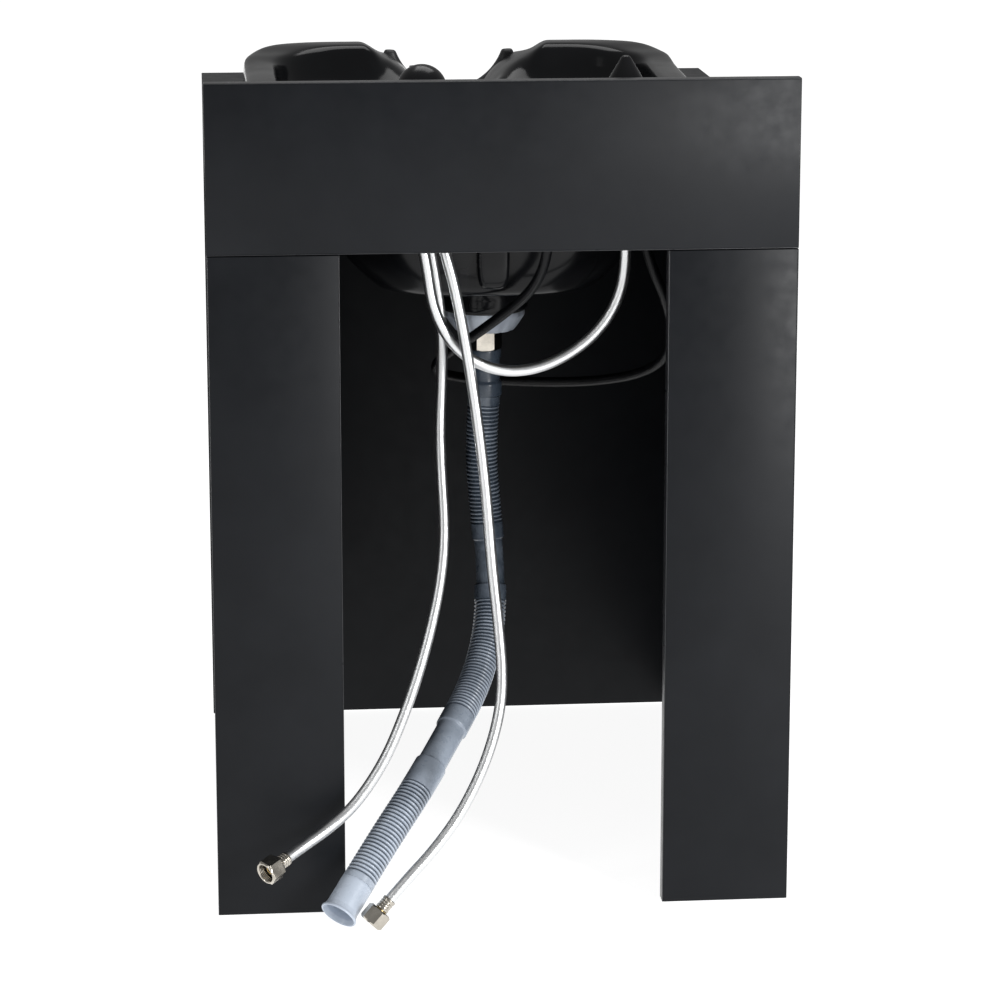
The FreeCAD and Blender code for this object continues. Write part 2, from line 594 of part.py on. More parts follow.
def hand_shower():
    """Pull-out hand shower in its deck bushing; the handle passes down through the deck."""
    x, y = "shower_x", "shower_y"
    bushing = (("12.6", "shank_bottom + 10"), ("shank_radius", "shank_bottom + 10"),
               ("shank_radius", "deck_top"), ("22", "deck_top"), ("22", "deck_top + 3"),
               ("18", "deck_top + 6"), ("12.6", "deck_top + 6"))
    node(turned("shower_bushing", bushing, x, y))
    handle = (("0", "grip_bottom"), ("9.5", "grip_bottom"), ("12", "deck_top"), ("12", "deck_top + 6.4"),
              ("15", "deck_top + 6.4"), ("13", "deck_top + 10"), ("11", "deck_top + 16"),
              ("10", "deck_top + 24"), ("0", "deck_top + 30"))
    grip = turned("shower_grip", handle, x, y)
    head = add("Part::Cone", "shower_head")
    bind(head, Radius1="12", Radius2="22", Height="18")
    face = add("Part::Cylinder", "shower_face_disc")
    bind(face, Radius="19", Height="2")
    forward = FreeCAD.Vector(0, math.cos(math.radians(20)), -math.sin(math.radians(20)))
    tilt = FreeCAD.Rotation(FreeCAD.Vector(0, 0, 1), forward)
    start = FreeCAD.Vector(0, 2, 40)
    for item, distance in ((head, 0), (face, 18)):
        item.Placement.Rotation = tilt
        point = start + forward * distance
        place(item, x, f"{y} + ({point.y})", f"deck_top + {point.z}")
    neck = add("Part::Sphere", "shower_neck")
    bind(neck, Radius="13.5")
    place(neck, x, y, "deck_top + 36")
    node(fuse("hand_shower_body", [grip, neck, head]))
    node(face)
    face.Label = "hand_shower_face"
    bottom = "grip_bottom - collar_height"
    collar = (("0", bottom), ("8.5", bottom), ("9.5", f"{bottom} + 3"), ("9.5", "grip_bottom"),
              ("0", "grip_bottom"))
    node(turned("hand_shower_collar", collar, x, y))


# ---------------------------------------------------------------- hoses
def rounded_route(points, name):
    """Straight runs joined by tangent arcs as large as the runs allow."""
    corners = [FreeCAD.Vector(*point) for point in points]
    edges = []
    radii = []
    here = corners[0]
    for before, corner, after in zip(corners, corners[1:], corners[2:]):
        back = before - corner
        ahead = after - corner
        reach = 0.45 * min(back.Length, ahead.Length)
        turn = math.pi - back.getAngle(ahead)
        radius = reach / math.tan(turn / 2)
        back.normalize()
        ahead.normalize()
        start = corner + back * reach
        end = corner + ahead * reach
        inward = back + ahead
        inward.normalize()
        middle = corner + inward * (radius / math.cos(turn / 2) - radius)
        edges.append(Part.LineSegment(here, start).toShape())
        edges.append(Part.Arc(start, middle, end).toShape())
        radii.append(radius)
        here = end
    edges.append(Part.LineSegment(here, corners[-1]).toShape())
    path = Part.Wire(edges)
    print(f"{name}: length {path.Length:.0f} mm, radii " + " ".join(f"{radius:.0f}" for radius in radii))
    return path


def hose(name, radius_text, points):
    """A plain tube along its route."""
    radius = number_of(radius_text)
    path = rounded_route(points, name)
    start = FreeCAD.Vector(*points[0])
    way = FreeCAD.Vector(*points[1]) - start
    section = Part.Face(Part.Wire(Part.makeCircle(radius, start, way)))
    item = add("Part::Feature", name)
    item.Shape = path.makePipe(section)
    expected = math.pi * radius ** 2 * path.Length
    print(f"{name}: volume / (section x length) = {item.Shape.Volume / expected:.4f}")
    node(item)


HOSE_TOP = number_of("shank_bottom - ferrule_height")
COLLAR_BOTTOM = number_of("grip_bottom - collar_height") - CLEAR

SUPPLY_LEFT_ROUTE = (
    (-75, -301, HOSE_TOP), (-66, -299, 668), (-57, -297, 606), (-58, -300, 545), (-61, -306, 498),
    (-60, -320, 448), (-58, -338, 396), (-63, -354, 350), (-74, -369, 304), (-88, -381, 258),
    (-104, -391, 215), (-125, -400, 168), (-156, -409, 124), (-185, -417, 101), (-210, -429, 88),
    (-229, -446, 80.6),
)
SUPPLY_RIGHT_ROUTE = (
    (-65, -323, HOSE_TOP), (-51, -330, 672), (-39, -331, 614), (-28, -333, 546), (-20, -338, 483),
    (-14, -344, 421), (-10, -352, 359), (-4, -366, 298), (-1, -382, 244), (-8, -396, 202),
    (-25, -411, 157), (-50, -426, 114), (-79, -439, 80), (-105, -449, 56), (-124, -455, 36),
)
OUTLET_ROUTE = (
    (-83, -315, HOSE_TOP), (-74.5, -315, 674), (-68, -315, 624), (-43, -315, 580), (0, -315, 558),
    (47, -315, 562), (93, -315, 588), (122, -315, 624), (134, -315, 670), (131, -318, HOSE_TOP),
)
SPRAY_ROUTE = (
    (53, -305, COLLAR_BOTTOM), (53, -304, 688), (48, -291, 659), (36, -271, 633), (15, -248, 610),
    (-10, -221, 585), (-36, -190, 560), (-54, -152, 538), (-50, -108, 518), (-18, -80, 505),
    (28, -72, 500), (80, -82, 499), (128, -103, 504), (172, -138, 518), (194, -188, 545),
    (193, -240, 585), (178, -280, 630), (158, -301, 672), (146, -308, HOSE_TOP),
)
WASTE_ROUTE = (
    (0, number_of("drain_y"), number_of("coupling_bottom")), (-5, -140, 440), (1, -142, 370),
    (6, -152, 305), (2, -182, 243), (-17, -228, 197), (-50, -290, 162), (-89, -350, 119),
    (-129, -395, 76.5), (-157, -427, 43),
)


def upper_ferrule(name, end, following):
    """A crimped sleeve that continues a hose upwards from its end point."""
    end = FreeCAD.Vector(*end)
    upwards = end - FreeCAD.Vector(*following)
    upwards.normalize()
    sleeve = add("Part::Cylinder", name)
    bind(sleeve, Radius="ferrule_radius", Height="ferrule_height - 0.5")
    return aim(sleeve, end, upwards)


def deck_ferrules():
    """Crimped sleeves under the mixer and under the vacuum breaker."""
    starts = (("left", SUPPLY_LEFT_ROUTE), ("right", SUPPLY_RIGHT_ROUTE), ("outlet", OUTLET_ROUTE))
    upper = [upper_ferrule(f"mixer_ferrule_{name}", *route[:2]) for name, route in starts]
    node(group("mixer_ferrules", upper))
    ends = (("outlet", OUTLET_ROUTE), ("spray", SPRAY_ROUTE))
    upper = [upper_ferrule(f"breaker_ferrule_{name}", *route[:-3:-1]) for name, route in ends]
    node(group("breaker_ferrules", upper))


def end_direction(route):
    direction = FreeCAD.Vector(*route[-1]) - FreeCAD.Vector(*route[-2])
    return direction.normalize()


def supply_end(side, route):
    """Crimped sleeve, brass tail, washer and swivel nut at the free end of a supply hose."""
    direction = end_direction(route)
    start = FreeCAD.Vector(*route[-1])
    sleeve_length = 14
    sleeve = add("Part::Cylinder", f"supply_ferrule_{side}")
    bind(sleeve, Radius="ferrule_radius", Height=str(sleeve_length))
    node(aim(sleeve, start, direction))
    base = start + direction * sleeve_length
    outline = (("4.5", "0"), ("6.5", "0"), ("6.5", "6"), ("8.8", "6"), ("8.8", "8"), ("4.5", "8"))
    tail = turned(f"supply_tail_{side}", outline)
    washer = turned(f"supply_washer_{side}", (("5", "8"), ("8.8", "8"), ("8.8", "10"), ("5", "10")))
    hexagon = add("Part::Prism", f"supply_nut_hexagon_{side}")
    bind(hexagon, Circumradius="nut_flats / 2 / cos(30)", Height="nut_length")
    hexagon.Placement.Base.z = CLEAR
    thread = rod(f"supply_nut_thread_{side}", "thread_radius", "10", "nut_length + 2")
    relief = rod(f"supply_nut_relief_{side}", "thread_radius + 0.9", "5.6", "10.2")
    throat = rod(f"supply_nut_throat_{side}", f"6.5 + {FIT}", "-1", "7")
    nut = cut(f"supply_nut_{side}", hexagon, [thread, relief, throat])
    for item in (tail, washer, nut):
        free_placement(item)
        node(aim(item, base, direction))


def free_placement(item):
    """Let a piece be placed by a route instead of by the sheet."""
    for axis in "xyz":
        item.setExpression(f"Placement.Base.{axis}", None)


def waste_cuff():
    """The bell-ended cuff on the free end of the waste hose."""
    length = "cuff_length"
    profile = (("0", "0"), ("17.5", "0"), ("17.5", f"{length} - 6"), ("19", f"{length} - 4"), ("20", length),
               ("17.5", length), ("16", f"{length} - 4"), ("16", "4"), ("0", "4"))
    cuff = turned("drain_hose_cuff", profile)
    free_placement(cuff)
    node(aim(cuff, WASTE_ROUTE[-1], end_direction(WASTE_ROUTE)))


def hoses():
    hose("supply_hose_left", "braid_radius", SUPPLY_LEFT_ROUTE)
    hose("supply_hose_right", "braid_radius", SUPPLY_RIGHT_ROUTE)
    hose("outlet_hose", "braid_radius", OUTLET_ROUTE)
    hose("spray_hose", "spray_radius", SPRAY_ROUTE)
    hose("drain_hose", "waste_radius", WASTE_ROUTE)


back_panels()
cabinet_panels()
deck()
brackets()
bowl()
neck_pad()
waste()
for fitting_name in ("mixer", "breaker", "shower"):
    under_deck(fitting_name)
mixer()
breaker()
hand_shower()
deck_ferrules()
supply_end("left", SUPPLY_LEFT_ROUTE)
supply_end("right", SUPPLY_RIGHT_ROUTE)
waste_cuff()
hoses()
doc.recompute()

for item in doc.Objects:
    if "Invalid" in item.State or "Error" in item.State:
        raise RuntimeError(f"{item.Label}: {item.State}")
os.makedirs("parts", exist_ok=True)
for item in nodes:
    shape = item.Shape
    if shape.isNull() or not shape.isValid() or not shape.Solids:
        raise RuntimeError(f"{item.Label} has no valid solid")
    box = shape.BoundBox
    spans = ((box.XMin, box.XMax), (box.YMin, box.YMax), (box.ZMin, box.ZMax))
    print(f"{item.Label}: {len(shape.Solids)} solid(s), {shape.Volume / 1000:.1f} cm3,",
          ", ".join(f"{low:.1f}..{high:.1f}" for low, high in spans))
    shape.exportStep(f"parts/{item.Label}.step")
print(len(nodes), "nodes")
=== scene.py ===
import json
import math

import bmesh
import bpy
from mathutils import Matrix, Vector

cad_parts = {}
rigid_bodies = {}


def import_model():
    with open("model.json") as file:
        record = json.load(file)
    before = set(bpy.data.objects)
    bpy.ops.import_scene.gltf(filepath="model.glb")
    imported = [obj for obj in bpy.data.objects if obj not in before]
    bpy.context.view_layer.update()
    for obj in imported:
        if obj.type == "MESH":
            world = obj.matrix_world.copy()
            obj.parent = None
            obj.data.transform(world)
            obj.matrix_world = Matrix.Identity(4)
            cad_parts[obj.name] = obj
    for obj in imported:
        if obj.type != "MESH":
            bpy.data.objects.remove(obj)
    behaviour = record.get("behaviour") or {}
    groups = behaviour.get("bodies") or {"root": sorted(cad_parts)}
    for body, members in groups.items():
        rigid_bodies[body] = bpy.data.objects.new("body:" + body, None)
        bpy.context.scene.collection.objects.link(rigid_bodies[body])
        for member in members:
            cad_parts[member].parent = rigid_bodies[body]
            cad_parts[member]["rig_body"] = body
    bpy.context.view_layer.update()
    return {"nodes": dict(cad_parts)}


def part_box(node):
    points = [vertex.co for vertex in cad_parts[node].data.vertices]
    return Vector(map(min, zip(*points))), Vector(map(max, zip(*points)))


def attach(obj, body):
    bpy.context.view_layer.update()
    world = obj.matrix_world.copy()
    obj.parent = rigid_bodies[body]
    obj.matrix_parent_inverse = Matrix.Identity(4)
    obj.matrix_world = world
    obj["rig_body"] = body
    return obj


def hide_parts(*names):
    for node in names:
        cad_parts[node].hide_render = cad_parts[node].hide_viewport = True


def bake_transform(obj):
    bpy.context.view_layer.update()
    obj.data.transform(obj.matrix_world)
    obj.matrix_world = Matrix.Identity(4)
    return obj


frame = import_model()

# Looks of the shampoo backwash unit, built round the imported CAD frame.
# Hose routes, camera, lights and floor are in metres.
# The pieces' own lengths are in millimetres until MM turns them into metres.
MM = 0.001
collection = bpy.context.scene.collection


# ---------------------------------------------------------------- camera
CAMERA_PLACE = (-0.308, -3.8266, 1.2683)
CAMERA_YAW = 5.04
CAMERA_PITCH = 12.67
CAMERA_SHIFT = -0.05
CAMERA_LENS = 124.66


def make_camera():
    """The photograph's viewing angle."""
    data = bpy.data.cameras.new("camera")
    data.sensor_width = 36
    data.lens = CAMERA_LENS
    data.shift_y = CAMERA_SHIFT
    data.clip_end = 100
    camera = bpy.data.objects.new("camera", data)
    camera.location = CAMERA_PLACE
    camera.rotation_euler = (math.radians(90 - CAMERA_PITCH), 0, math.radians(-CAMERA_YAW))
    collection.objects.link(camera)
    bpy.context.scene.camera = camera


make_camera()


# ---------------------------------------------------------------- materials
class Recipe:
    """A Principled material whose colour, roughness and bump come from textures."""

    def __init__(self, name, colour, roughness, **sockets):
        self.material = bpy.data.materials.new(name)
        self.material.use_nodes = True
        self.tree = self.material.node_tree
        self.shader = self.tree.nodes["Principled BSDF"]
        self.shader.inputs["Base Color"].default_value = (*colour, 1)
        self.shader.inputs["Roughness"].default_value = roughness
        for socket, value in sockets.items():
            self.shader.inputs[socket.replace("_", " ")].default_value = value
        self.height = None

    def node(self, kind, **settings):
        item = self.tree.nodes.new(kind)
        for name, value in settings.items():
            setattr(item, name, value)
        return item

    def link(self, source, target):
        self.tree.links.new(source, target)

    def place(self, stretch=(1, 1, 1), source="Object"):
        coordinates = self.node("ShaderNodeTexCoord")
        mapping = self.node("ShaderNodeMapping")
        mapping.inputs["Scale"].default_value = stretch
        self.link(coordinates.outputs[source], mapping.inputs["Vector"])
        return mapping.outputs["Vector"]

    def noise(self, scale, detail, stretch=(1, 1, 1)):
        texture = self.node("ShaderNodeTexNoise")
        texture.inputs["Scale"].default_value = scale
        texture.inputs["Detail"].default_value = detail
        self.link(self.place(stretch), texture.inputs["Vector"])
        return texture.outputs["Fac"]

    def cells(self, scale):
        texture = self.node("ShaderNodeTexVoronoi")
        texture.inputs["Scale"].default_value = scale
        self.link(self.place(), texture.inputs["Vector"])
        return texture.outputs["Distance"]

    def attribute(self, name):
        return self.node("ShaderNodeAttribute", attribute_name=name).outputs["Fac"]

    def part_of(self, vector, axis):
        split = self.node("ShaderNodeSeparateXYZ")
        self.link(vector, split.inputs["Vector"])
        return split.outputs[axis]

    def maths(self, operation, first, second=0.0):
        item = self.node("ShaderNodeMath", operation=operation)
        for socket, value in zip(item.inputs, (first, second)):
            if isinstance(value, (int, float)):
                socket.default_value = value
            else:
                self.link(value, socket)
        return item.outputs["Value"]

    def between(self, factor, low, high, start=0.3, end=0.7):
        item = self.node("ShaderNodeMapRange")
        for name, value in (("From Min", start), ("From Max", end), ("To Min", low), ("To Max", high)):
            item.inputs[name].default_value = value
        self.link(factor, item.inputs["Value"])
        return item.outputs["Result"]

    def colours(self, factor, dark, light, start=0.3, end=0.7):
        ramp = self.node("ShaderNodeValToRGB")
        low, high = ramp.color_ramp.elements
        low.position, high.position = start, end
        low.color, high.color = (*dark, 1), (*light, 1)
        self.link(factor, ramp.inputs["Fac"])
        self.link(ramp.outputs["Color"], self.shader.inputs["Base Color"])

    def gloss(self, factor, smooth, rough):
        self.link(self.between(factor, smooth, rough), self.shader.inputs["Roughness"])

    def bump(self, height, strength, depth):
        """Adds relief of a depth in millimetres on top of any earlier bump."""
        item = self.node("ShaderNodeBump")
        item.inputs["Strength"].default_value = strength
        item.inputs["Distance"].default_value = depth * MM
        self.link(height, item.inputs["Height"])
        if self.height is not None:
            self.link(self.height, item.inputs["Normal"])
        self.height = item.outputs["Normal"]
        self.link(self.height, self.shader.inputs["Normal"])


def melamine():
    """Black melamine board with a fine pearl print."""
    recipe = Recipe("melamine", (0.006, 0.007, 0.009), 0.42, Specular_IOR_Level=0.17)
    recipe.colours(recipe.noise(14, 5), (0.0048, 0.0056, 0.0072), (0.0072, 0.0082, 0.0102))
    recipe.gloss(recipe.noise(60, 4), 0.38, 0.47)
    recipe.bump(recipe.noise(620, 3), 0.35, 0.06)
    recipe.bump(recipe.noise(60, 2), 0.12, 0.15)
    return recipe.material


def banding():
    """The thin plastic strip glued on the boards' edges, a little smoother than their faces."""
    recipe = Recipe("edge_banding", (0.016, 0.017, 0.019), 0.3, Specular_IOR_Level=0.4)
    recipe.colours(recipe.noise(30, 3), (0.013, 0.014, 0.016), (0.022, 0.023, 0.026))
    recipe.gloss(recipe.noise(90, 3), 0.26, 0.36)
    recipe.bump(recipe.noise(420, 2), 0.2, 0.05)
    return recipe.material


def gloss_black(name, base, rough, wave):
    """Moulded black plastic: glossy, with faint flow marks and wipe marks."""
    recipe = Recipe(name, base, rough, Specular_IOR_Level=0.2)
    recipe.colours(recipe.noise(9, 4), tuple(c * 0.8 for c in base), tuple(c * 1.3 for c in base))
    recipe.gloss(recipe.noise(26, 6, (1, 1, 0.35)), rough * 0.7, rough * 1.5)
    recipe.bump(recipe.noise(13, 2), 0.25, wave)
    recipe.bump(recipe.noise(900, 2), 0.05, 0.02)
    return recipe.material


def soft_black():
    """Soft foamed skin of the neck collar, with a fine grain."""
    recipe = Recipe("soft_black", (0.014, 0.014, 0.016), 0.48, Specular_IOR_Level=0.45)
    recipe.colours(recipe.noise(40, 4), (0.011, 0.011, 0.013), (0.02, 0.02, 0.022))
    recipe.gloss(recipe.noise(120, 3), 0.4, 0.56)
    recipe.bump(recipe.cells(900), 0.35, 0.12)
    return recipe.material


def rubber():
    """Black rubber of the seals and gaskets."""
    recipe = Recipe("black_rubber", (0.02, 0.02, 0.02), 0.6, Specular_IOR_Level=0.35)
    recipe.colours(recipe.noise(70, 4), (0.014, 0.014, 0.014), (0.03, 0.03, 0.03))
    recipe.gloss(recipe.noise(200, 3), 0.5, 0.7)
    recipe.bump(recipe.noise(800, 3), 0.3, 0.06)
    return recipe.material


def metal(name, dark, light, smooth, rough, grain, depth):
    """Bare or plated metal: colour and gloss drift slightly, with a fine worked surface."""
    recipe = Recipe(name, light, smooth, Metallic=1.0)
    recipe.colours(recipe.noise(55, 5), dark, light)
    recipe.gloss(recipe.noise(140, 5), smooth, rough)
    recipe.bump(recipe.noise(grain, 3, (1, 1, 3)), 0.25, depth)
    return recipe.material


def painted_steel():
    """Black painted steel of the brackets and their screws."""
    recipe = Recipe("black_steel", (0.02, 0.02, 0.022), 0.4)
    recipe.colours(recipe.noise(50, 4), (0.015, 0.015, 0.017), (0.028, 0.028, 0.03))
    recipe.gloss(recipe.noise(110, 3), 0.32, 0.5)
    recipe.bump(recipe.noise(500, 3), 0.3, 0.06)
    return recipe.material


# Bands of wire each way round a woven hose, and the wires in each band.
BRAID_COUNT = 8
STEEL_WIRES = 6
SPRAY_WIRES = 3


def woven(recipe, count, wires):
    """Height of two families of wires that cross over and under each other, from the tube's own UV map."""
    uv_map = recipe.place(source="UV")
    round_way, long_way = recipe.part_of(uv_map, "X"), recipe.part_of(uv_map, "Y")
    first = recipe.maths("MULTIPLY", recipe.maths("ADD", round_way, long_way), count)
    second = recipe.maths("MULTIPLY", recipe.maths("SUBTRACT", round_way, long_way), count)

    def wave(value, times):
        return recipe.maths("SINE", recipe.maths("MULTIPLY", value, 2 * math.pi * times))

    over = recipe.maths("GREATER_THAN", recipe.maths("MULTIPLY", wave(first, 1), wave(second, 1)), 0)
    under = recipe.maths("SUBTRACT", 1.0, over)
    return recipe.maths("ADD", recipe.maths("MULTIPLY", over, wave(first, wires)),
                        recipe.maths("MULTIPLY", under, wave(second, wires)))


def braid():
    """Woven stainless wire."""
    recipe = Recipe("braid", (0.82, 0.82, 0.8), 0.3, Metallic=1.0)
    wires = woven(recipe, BRAID_COUNT, STEEL_WIRES)
    recipe.colours(wires, (0.66, 0.67, 0.68), (0.95, 0.96, 0.96), 0.0, 0.8)
    recipe.gloss(recipe.noise(90, 4), 0.28, 0.36)
    recipe.bump(wires, 0.25, 0.06)
    return recipe.material


def black_hose():
    """Clear sleeve over a black braid: glossy, with the braid showing as fine dots."""
    recipe = Recipe("black_hose", (0.004, 0.004, 0.005), 0.16, Specular_IOR_Level=0.16, Coat_Weight=0.1,
                    Coat_Roughness=0.05)
    wires = woven(recipe, BRAID_COUNT, SPRAY_WIRES)
    recipe.colours(wires, (0.0015, 0.0015, 0.002), (0.008, 0.0085, 0.01), 0.0, 0.9)
    recipe.gloss(recipe.noise(80, 3), 0.12, 0.24)
    recipe.bump(wires, 0.5, 0.18)
    return recipe.material


# Painted shade on the waste hose: it is palest below the first height in metres and darkest above the second,
# as the shade inside the cabinet.
HOSE_UNSHADED_BELOW = 0.05
HOSE_FULL_SHADE_ABOVE = 0.32
HOSE_PAINTED_SHADE = 0.6


def grey_plastic():
    """Waste hose: pale ridges and grooves painted dark blue-grey as shade, told apart by the mesh's relief,
    and painted shade darker higher up.
    """
    recipe = Recipe("grey_plastic", (0.42, 0.45, 0.49), 0.3, Specular_IOR_Level=0.55)
    mottle = recipe.between(recipe.noise(45, 4), -0.12, 0.12)
    relief = recipe.maths("ADD", recipe.attribute("relief"), mottle)
    height = recipe.part_of(recipe.place(), "Z")
    # painted shade: the hose is darkened with its height, standing for the shade inside the cabinet
    painted_shade = recipe.between(height, 0.0, HOSE_PAINTED_SHADE, HOSE_UNSHADED_BELOW, HOSE_FULL_SHADE_ABOVE)
    tone = recipe.maths("SUBTRACT", relief, painted_shade)
    # painted shade: the grooves, at low relief, take the dark end of this ramp
    recipe.colours(tone, (0.045, 0.06, 0.082), (0.48, 0.54, 0.63), 0.05, 0.95)
    recipe.gloss(recipe.noise(120, 3), 0.22, 0.36)
    recipe.bump(recipe.noise(500, 3), 0.2, 0.06)
    return recipe.material


def plain_plastic(name, dark, light, smooth, rough):
    """Matt moulded plastic with faint clouding and a slightly uneven skin."""
    recipe = Recipe(name, light, smooth, Specular_IOR_Level=0.45)
    recipe.colours(recipe.noise(38, 5), dark, light)
    recipe.gloss(recipe.noise(130, 3), smooth, rough)
    recipe.bump(recipe.noise(520, 3), 0.22, 0.06)
    recipe.bump(recipe.noise(24, 2), 0.1, 0.3)
    return recipe.material


def strainer_steel():
    """Pressed stainless steel with turned marks."""
    recipe = Recipe("stainless", (0.66, 0.66, 0.64), 0.25, Metallic=1.0)
    recipe.colours(recipe.noise(60, 5), (0.5, 0.5, 0.49), (0.72, 0.72, 0.7))
    recipe.gloss(recipe.noise(260, 4, (1, 1, 6)), 0.18, 0.34)
    recipe.bump(recipe.noise(700, 2, (1, 1, 8)), 0.2, 0.03)
    return recipe.material


MATERIALS = {
    "melamine": melamine(),
    "banding": banding(),
    "bowl_plastic": gloss_black("bowl_plastic", (0.0045, 0.0048, 0.0056), 0.15, 0.35),
    "black_gloss": gloss_black("black_gloss", (0.007, 0.0072, 0.008), 0.2, 0.1),
    "soft_black": soft_black(),
    "black_rubber": rubber(),
    "stainless": strainer_steel(),
    "zinc_steel": metal("zinc_steel", (0.38, 0.39, 0.4), (0.56, 0.57, 0.58), 0.32, 0.5, 500, 0.05),
    "nickel": metal("nickel", (0.44, 0.41, 0.36), (0.66, 0.62, 0.55), 0.12, 0.26, 420, 0.03),
    "brass": metal("brass", (0.5, 0.35, 0.12), (0.74, 0.56, 0.25), 0.2, 0.36, 420, 0.05),
    "black_steel": painted_steel(),
    "braid": braid(),
    "black_hose": black_hose(),
    "grey_plastic": grey_plastic(),
    "pale_plastic": plain_plastic("pale_plastic", (0.27, 0.3, 0.35), (0.4, 0.44, 0.5), 0.3, 0.46),
    "grey_liner": plain_plastic("grey_liner", (0.2, 0.21, 0.22), (0.27, 0.28, 0.3), 0.42, 0.6),
}


# ---------------------------------------------------------------- building pieces
# Edges that turn by more degrees than this stay crisp, and the bevelled ones turn by more than BEVEL_ANGLE.
SHARP_ANGLE = 38
ALL_SMOOTH = 180
BEVEL_ANGLE = 34
MERGE_DISTANCE = 0.001
FLAT_ANGLE = 0.5


def piece(name, vertices, faces, slot, body, replaced=(), sharp=SHARP_ANGLE):
    """A mesh in metres that stands for CAD nodes and rides on a body."""
    mesh = bpy.data.meshes.new(name)
    mesh.from_pydata([tuple(v) for v in vertices], [], faces)
    mesh.update()
    work = bmesh.new()
    work.from_mesh(mesh)
    bmesh.ops.recalc_face_normals(work, faces=work.faces)
    work.to_mesh(mesh)
    work.free()
    return dress(name, mesh, slot, body, replaced, sharp)


def dress(name, mesh, slot, body, replaced, sharp, material=None):
    """Gives a finished mesh its shading, material and body, and hides the nodes it stands for."""
    mesh.materials.clear()
    mesh.materials.append(MATERIALS[material or slot])
    mesh.shade_smooth()
    mesh.set_sharp_from_angle(angle=math.radians(sharp))
    item = bpy.data.objects.new(name, mesh)
    collection.objects.link(item)
    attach(item, body)
    if replaced:
        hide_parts(*replaced)
    return item


def body_with(node):
    """The body that a CAD node rides on."""
    return frame["nodes"][node]["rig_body"]


def refined(node, slot, width, steps=2, material=None):
    """A CAD node's own shape with its sharp edges rounded to a width in millimetres."""
    mesh = frame["nodes"][node].data.copy()
    work = bmesh.new()
    work.from_mesh(mesh)
    bmesh.ops.remove_doubles(work, verts=work.verts, dist=MERGE_DISTANCE * MM)
    bmesh.ops.dissolve_limit(work, angle_limit=math.radians(FLAT_ANGLE), verts=work.verts, edges=work.edges)
    turn = math.radians(BEVEL_ANGLE)
    edges = [edge for edge in work.edges if len(edge.link_faces) == 2 and edge.calc_face_angle(0) > turn]
    bmesh.ops.bevel(work, geom=edges, offset=width * MM, offset_type="OFFSET", segments=steps, profile=0.5,
                    affect="EDGES", clamp_overlap=True)
    bmesh.ops.recalc_face_normals(work, faces=work.faces)
    low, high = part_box(node)
    for vertex in work.verts:
        vertex.co = Vector(min(max(c, a), b) for c, a, b in zip(vertex.co, low, high))
    work.to_mesh(mesh)
    work.free()
    return dress(node + "_finished", mesh, slot, body_with(node), (node,), SHARP_ANGLE, material)


def ring_faces(rings, count, closed):
    """Quads between rings of count points: closed into a loop, or else with a cap at each end."""
    faces = []
    for index in range(rings if closed else rings - 1):
        low, high = index * count, (index + 1) % rings * count
        for around in range(count):
            after = (around + 1) % count
            faces.append((low + around, low + after, high + after, high + around))
    if not closed:
        faces.append(tuple(range(count)))
        faces.append(tuple((rings - 1) * count + around for around in reversed(range(count))))
    return faces


def joined_rings(rings, closed=True):
    """Vertices in metres and faces of a surface through rings of equal count."""
    vertices = [point * MM for ring in rings for point in ring]
    return vertices, ring_faces(len(rings), len(rings[0]), closed)


def smoothstep(low, high, value):
    """0 below low, 1 above high, and an even S between them."""
    share = min(1.0, max(0.0, (value - low) / (high - low)))
    return share * share * (3 - 2 * share)


def squared(value, power):
    """A sine or cosine pushed towards its limits, which squares a circle off."""
    return math.copysign(abs(value) ** power, value)


def mark_relief(item, values):
    """Tells the grey plastic how far each point stands between groove, 0, and ridge, 1, which it turns into
    painted shade in the grooves.
    """
    mark = item.data.attributes.new("relief", "FLOAT", "POINT")
    mark.data.foreach_set("value", values)


def mark_even_relief(item, value):
    mark_relief(item, [value] * len(item.data.vertices))


ON_AXIS = 1e-6
TOO_SHORT = 1e-4


def eased(profile, reach):
    """Rounds the corners of a closed outline of (radius, height) points, except those on the axis."""
    rounded = []
    count = len(profile)
    for index, corner in enumerate(profile):
        here = Vector(corner)
        before = Vector(profile[index - 1])
        after = Vector(profile[(index + 1) % count])
        cut = min(reach, 0.4 * (before - here).length, 0.4 * (after - here).length)
        if here.x < ON_AXIS or cut < TOO_SHORT:
            rounded.append(here)
            continue
        start = here + (before - here).normalized() * cut
        end = here + (after - here).normalized() * cut
        rounded += [start, start * 0.25 + here * 0.5 + end * 0.25, end]
    return rounded


def spun(name, profile, slot, body, replaced=(), at=(0, 0, 0), axis=(0, 0, 1), flats=None, lobes=None,
         reach=0.4, segments=72):
    """A closed outline of (radius, height) points turned round an axis.

    Flats, the width across them, cut it to a hexagon, and lobes gives its radius at an angle.
    """
    outline = eased(profile, reach)
    turn = Vector((0, 0, 1)).rotation_difference(Vector(axis).normalized())
    vertices = []
    rows = []
    for radius, height in outline:
        if radius < ON_AXIS:
            rows.append([len(vertices)] * segments)
            vertices.append(Vector((0, 0, height)))
            continue
        rows.append([len(vertices) + index for index in range(segments)])
        for index in range(segments):
            angle = 2 * math.pi * index / segments
            reached = radius
            if flats:
                off = angle % (math.pi / 3) - math.pi / 6
                reached = min(radius, flats / 2 / math.cos(off))
            if lobes:
                reached = lobes(radius, angle)
            vertices.append(Vector((reached * math.cos(angle), reached * math.sin(angle), height)))
    faces = []
    for row, following in zip(rows, rows[1:] + rows[:1]):
        if len(set(row)) == 1 and len(set(following)) == 1:
            continue
        for index in range(segments):
            after = (index + 1) % segments
            ring = [row[index], row[after], following[after], following[index]]
            face = list(dict.fromkeys(ring))
            if len(face) > 2:
                faces.append(face)
    placed = [(turn @ point + Vector(at)) * MM for point in vertices]
    return piece(name, placed, faces, slot, body, replaced)


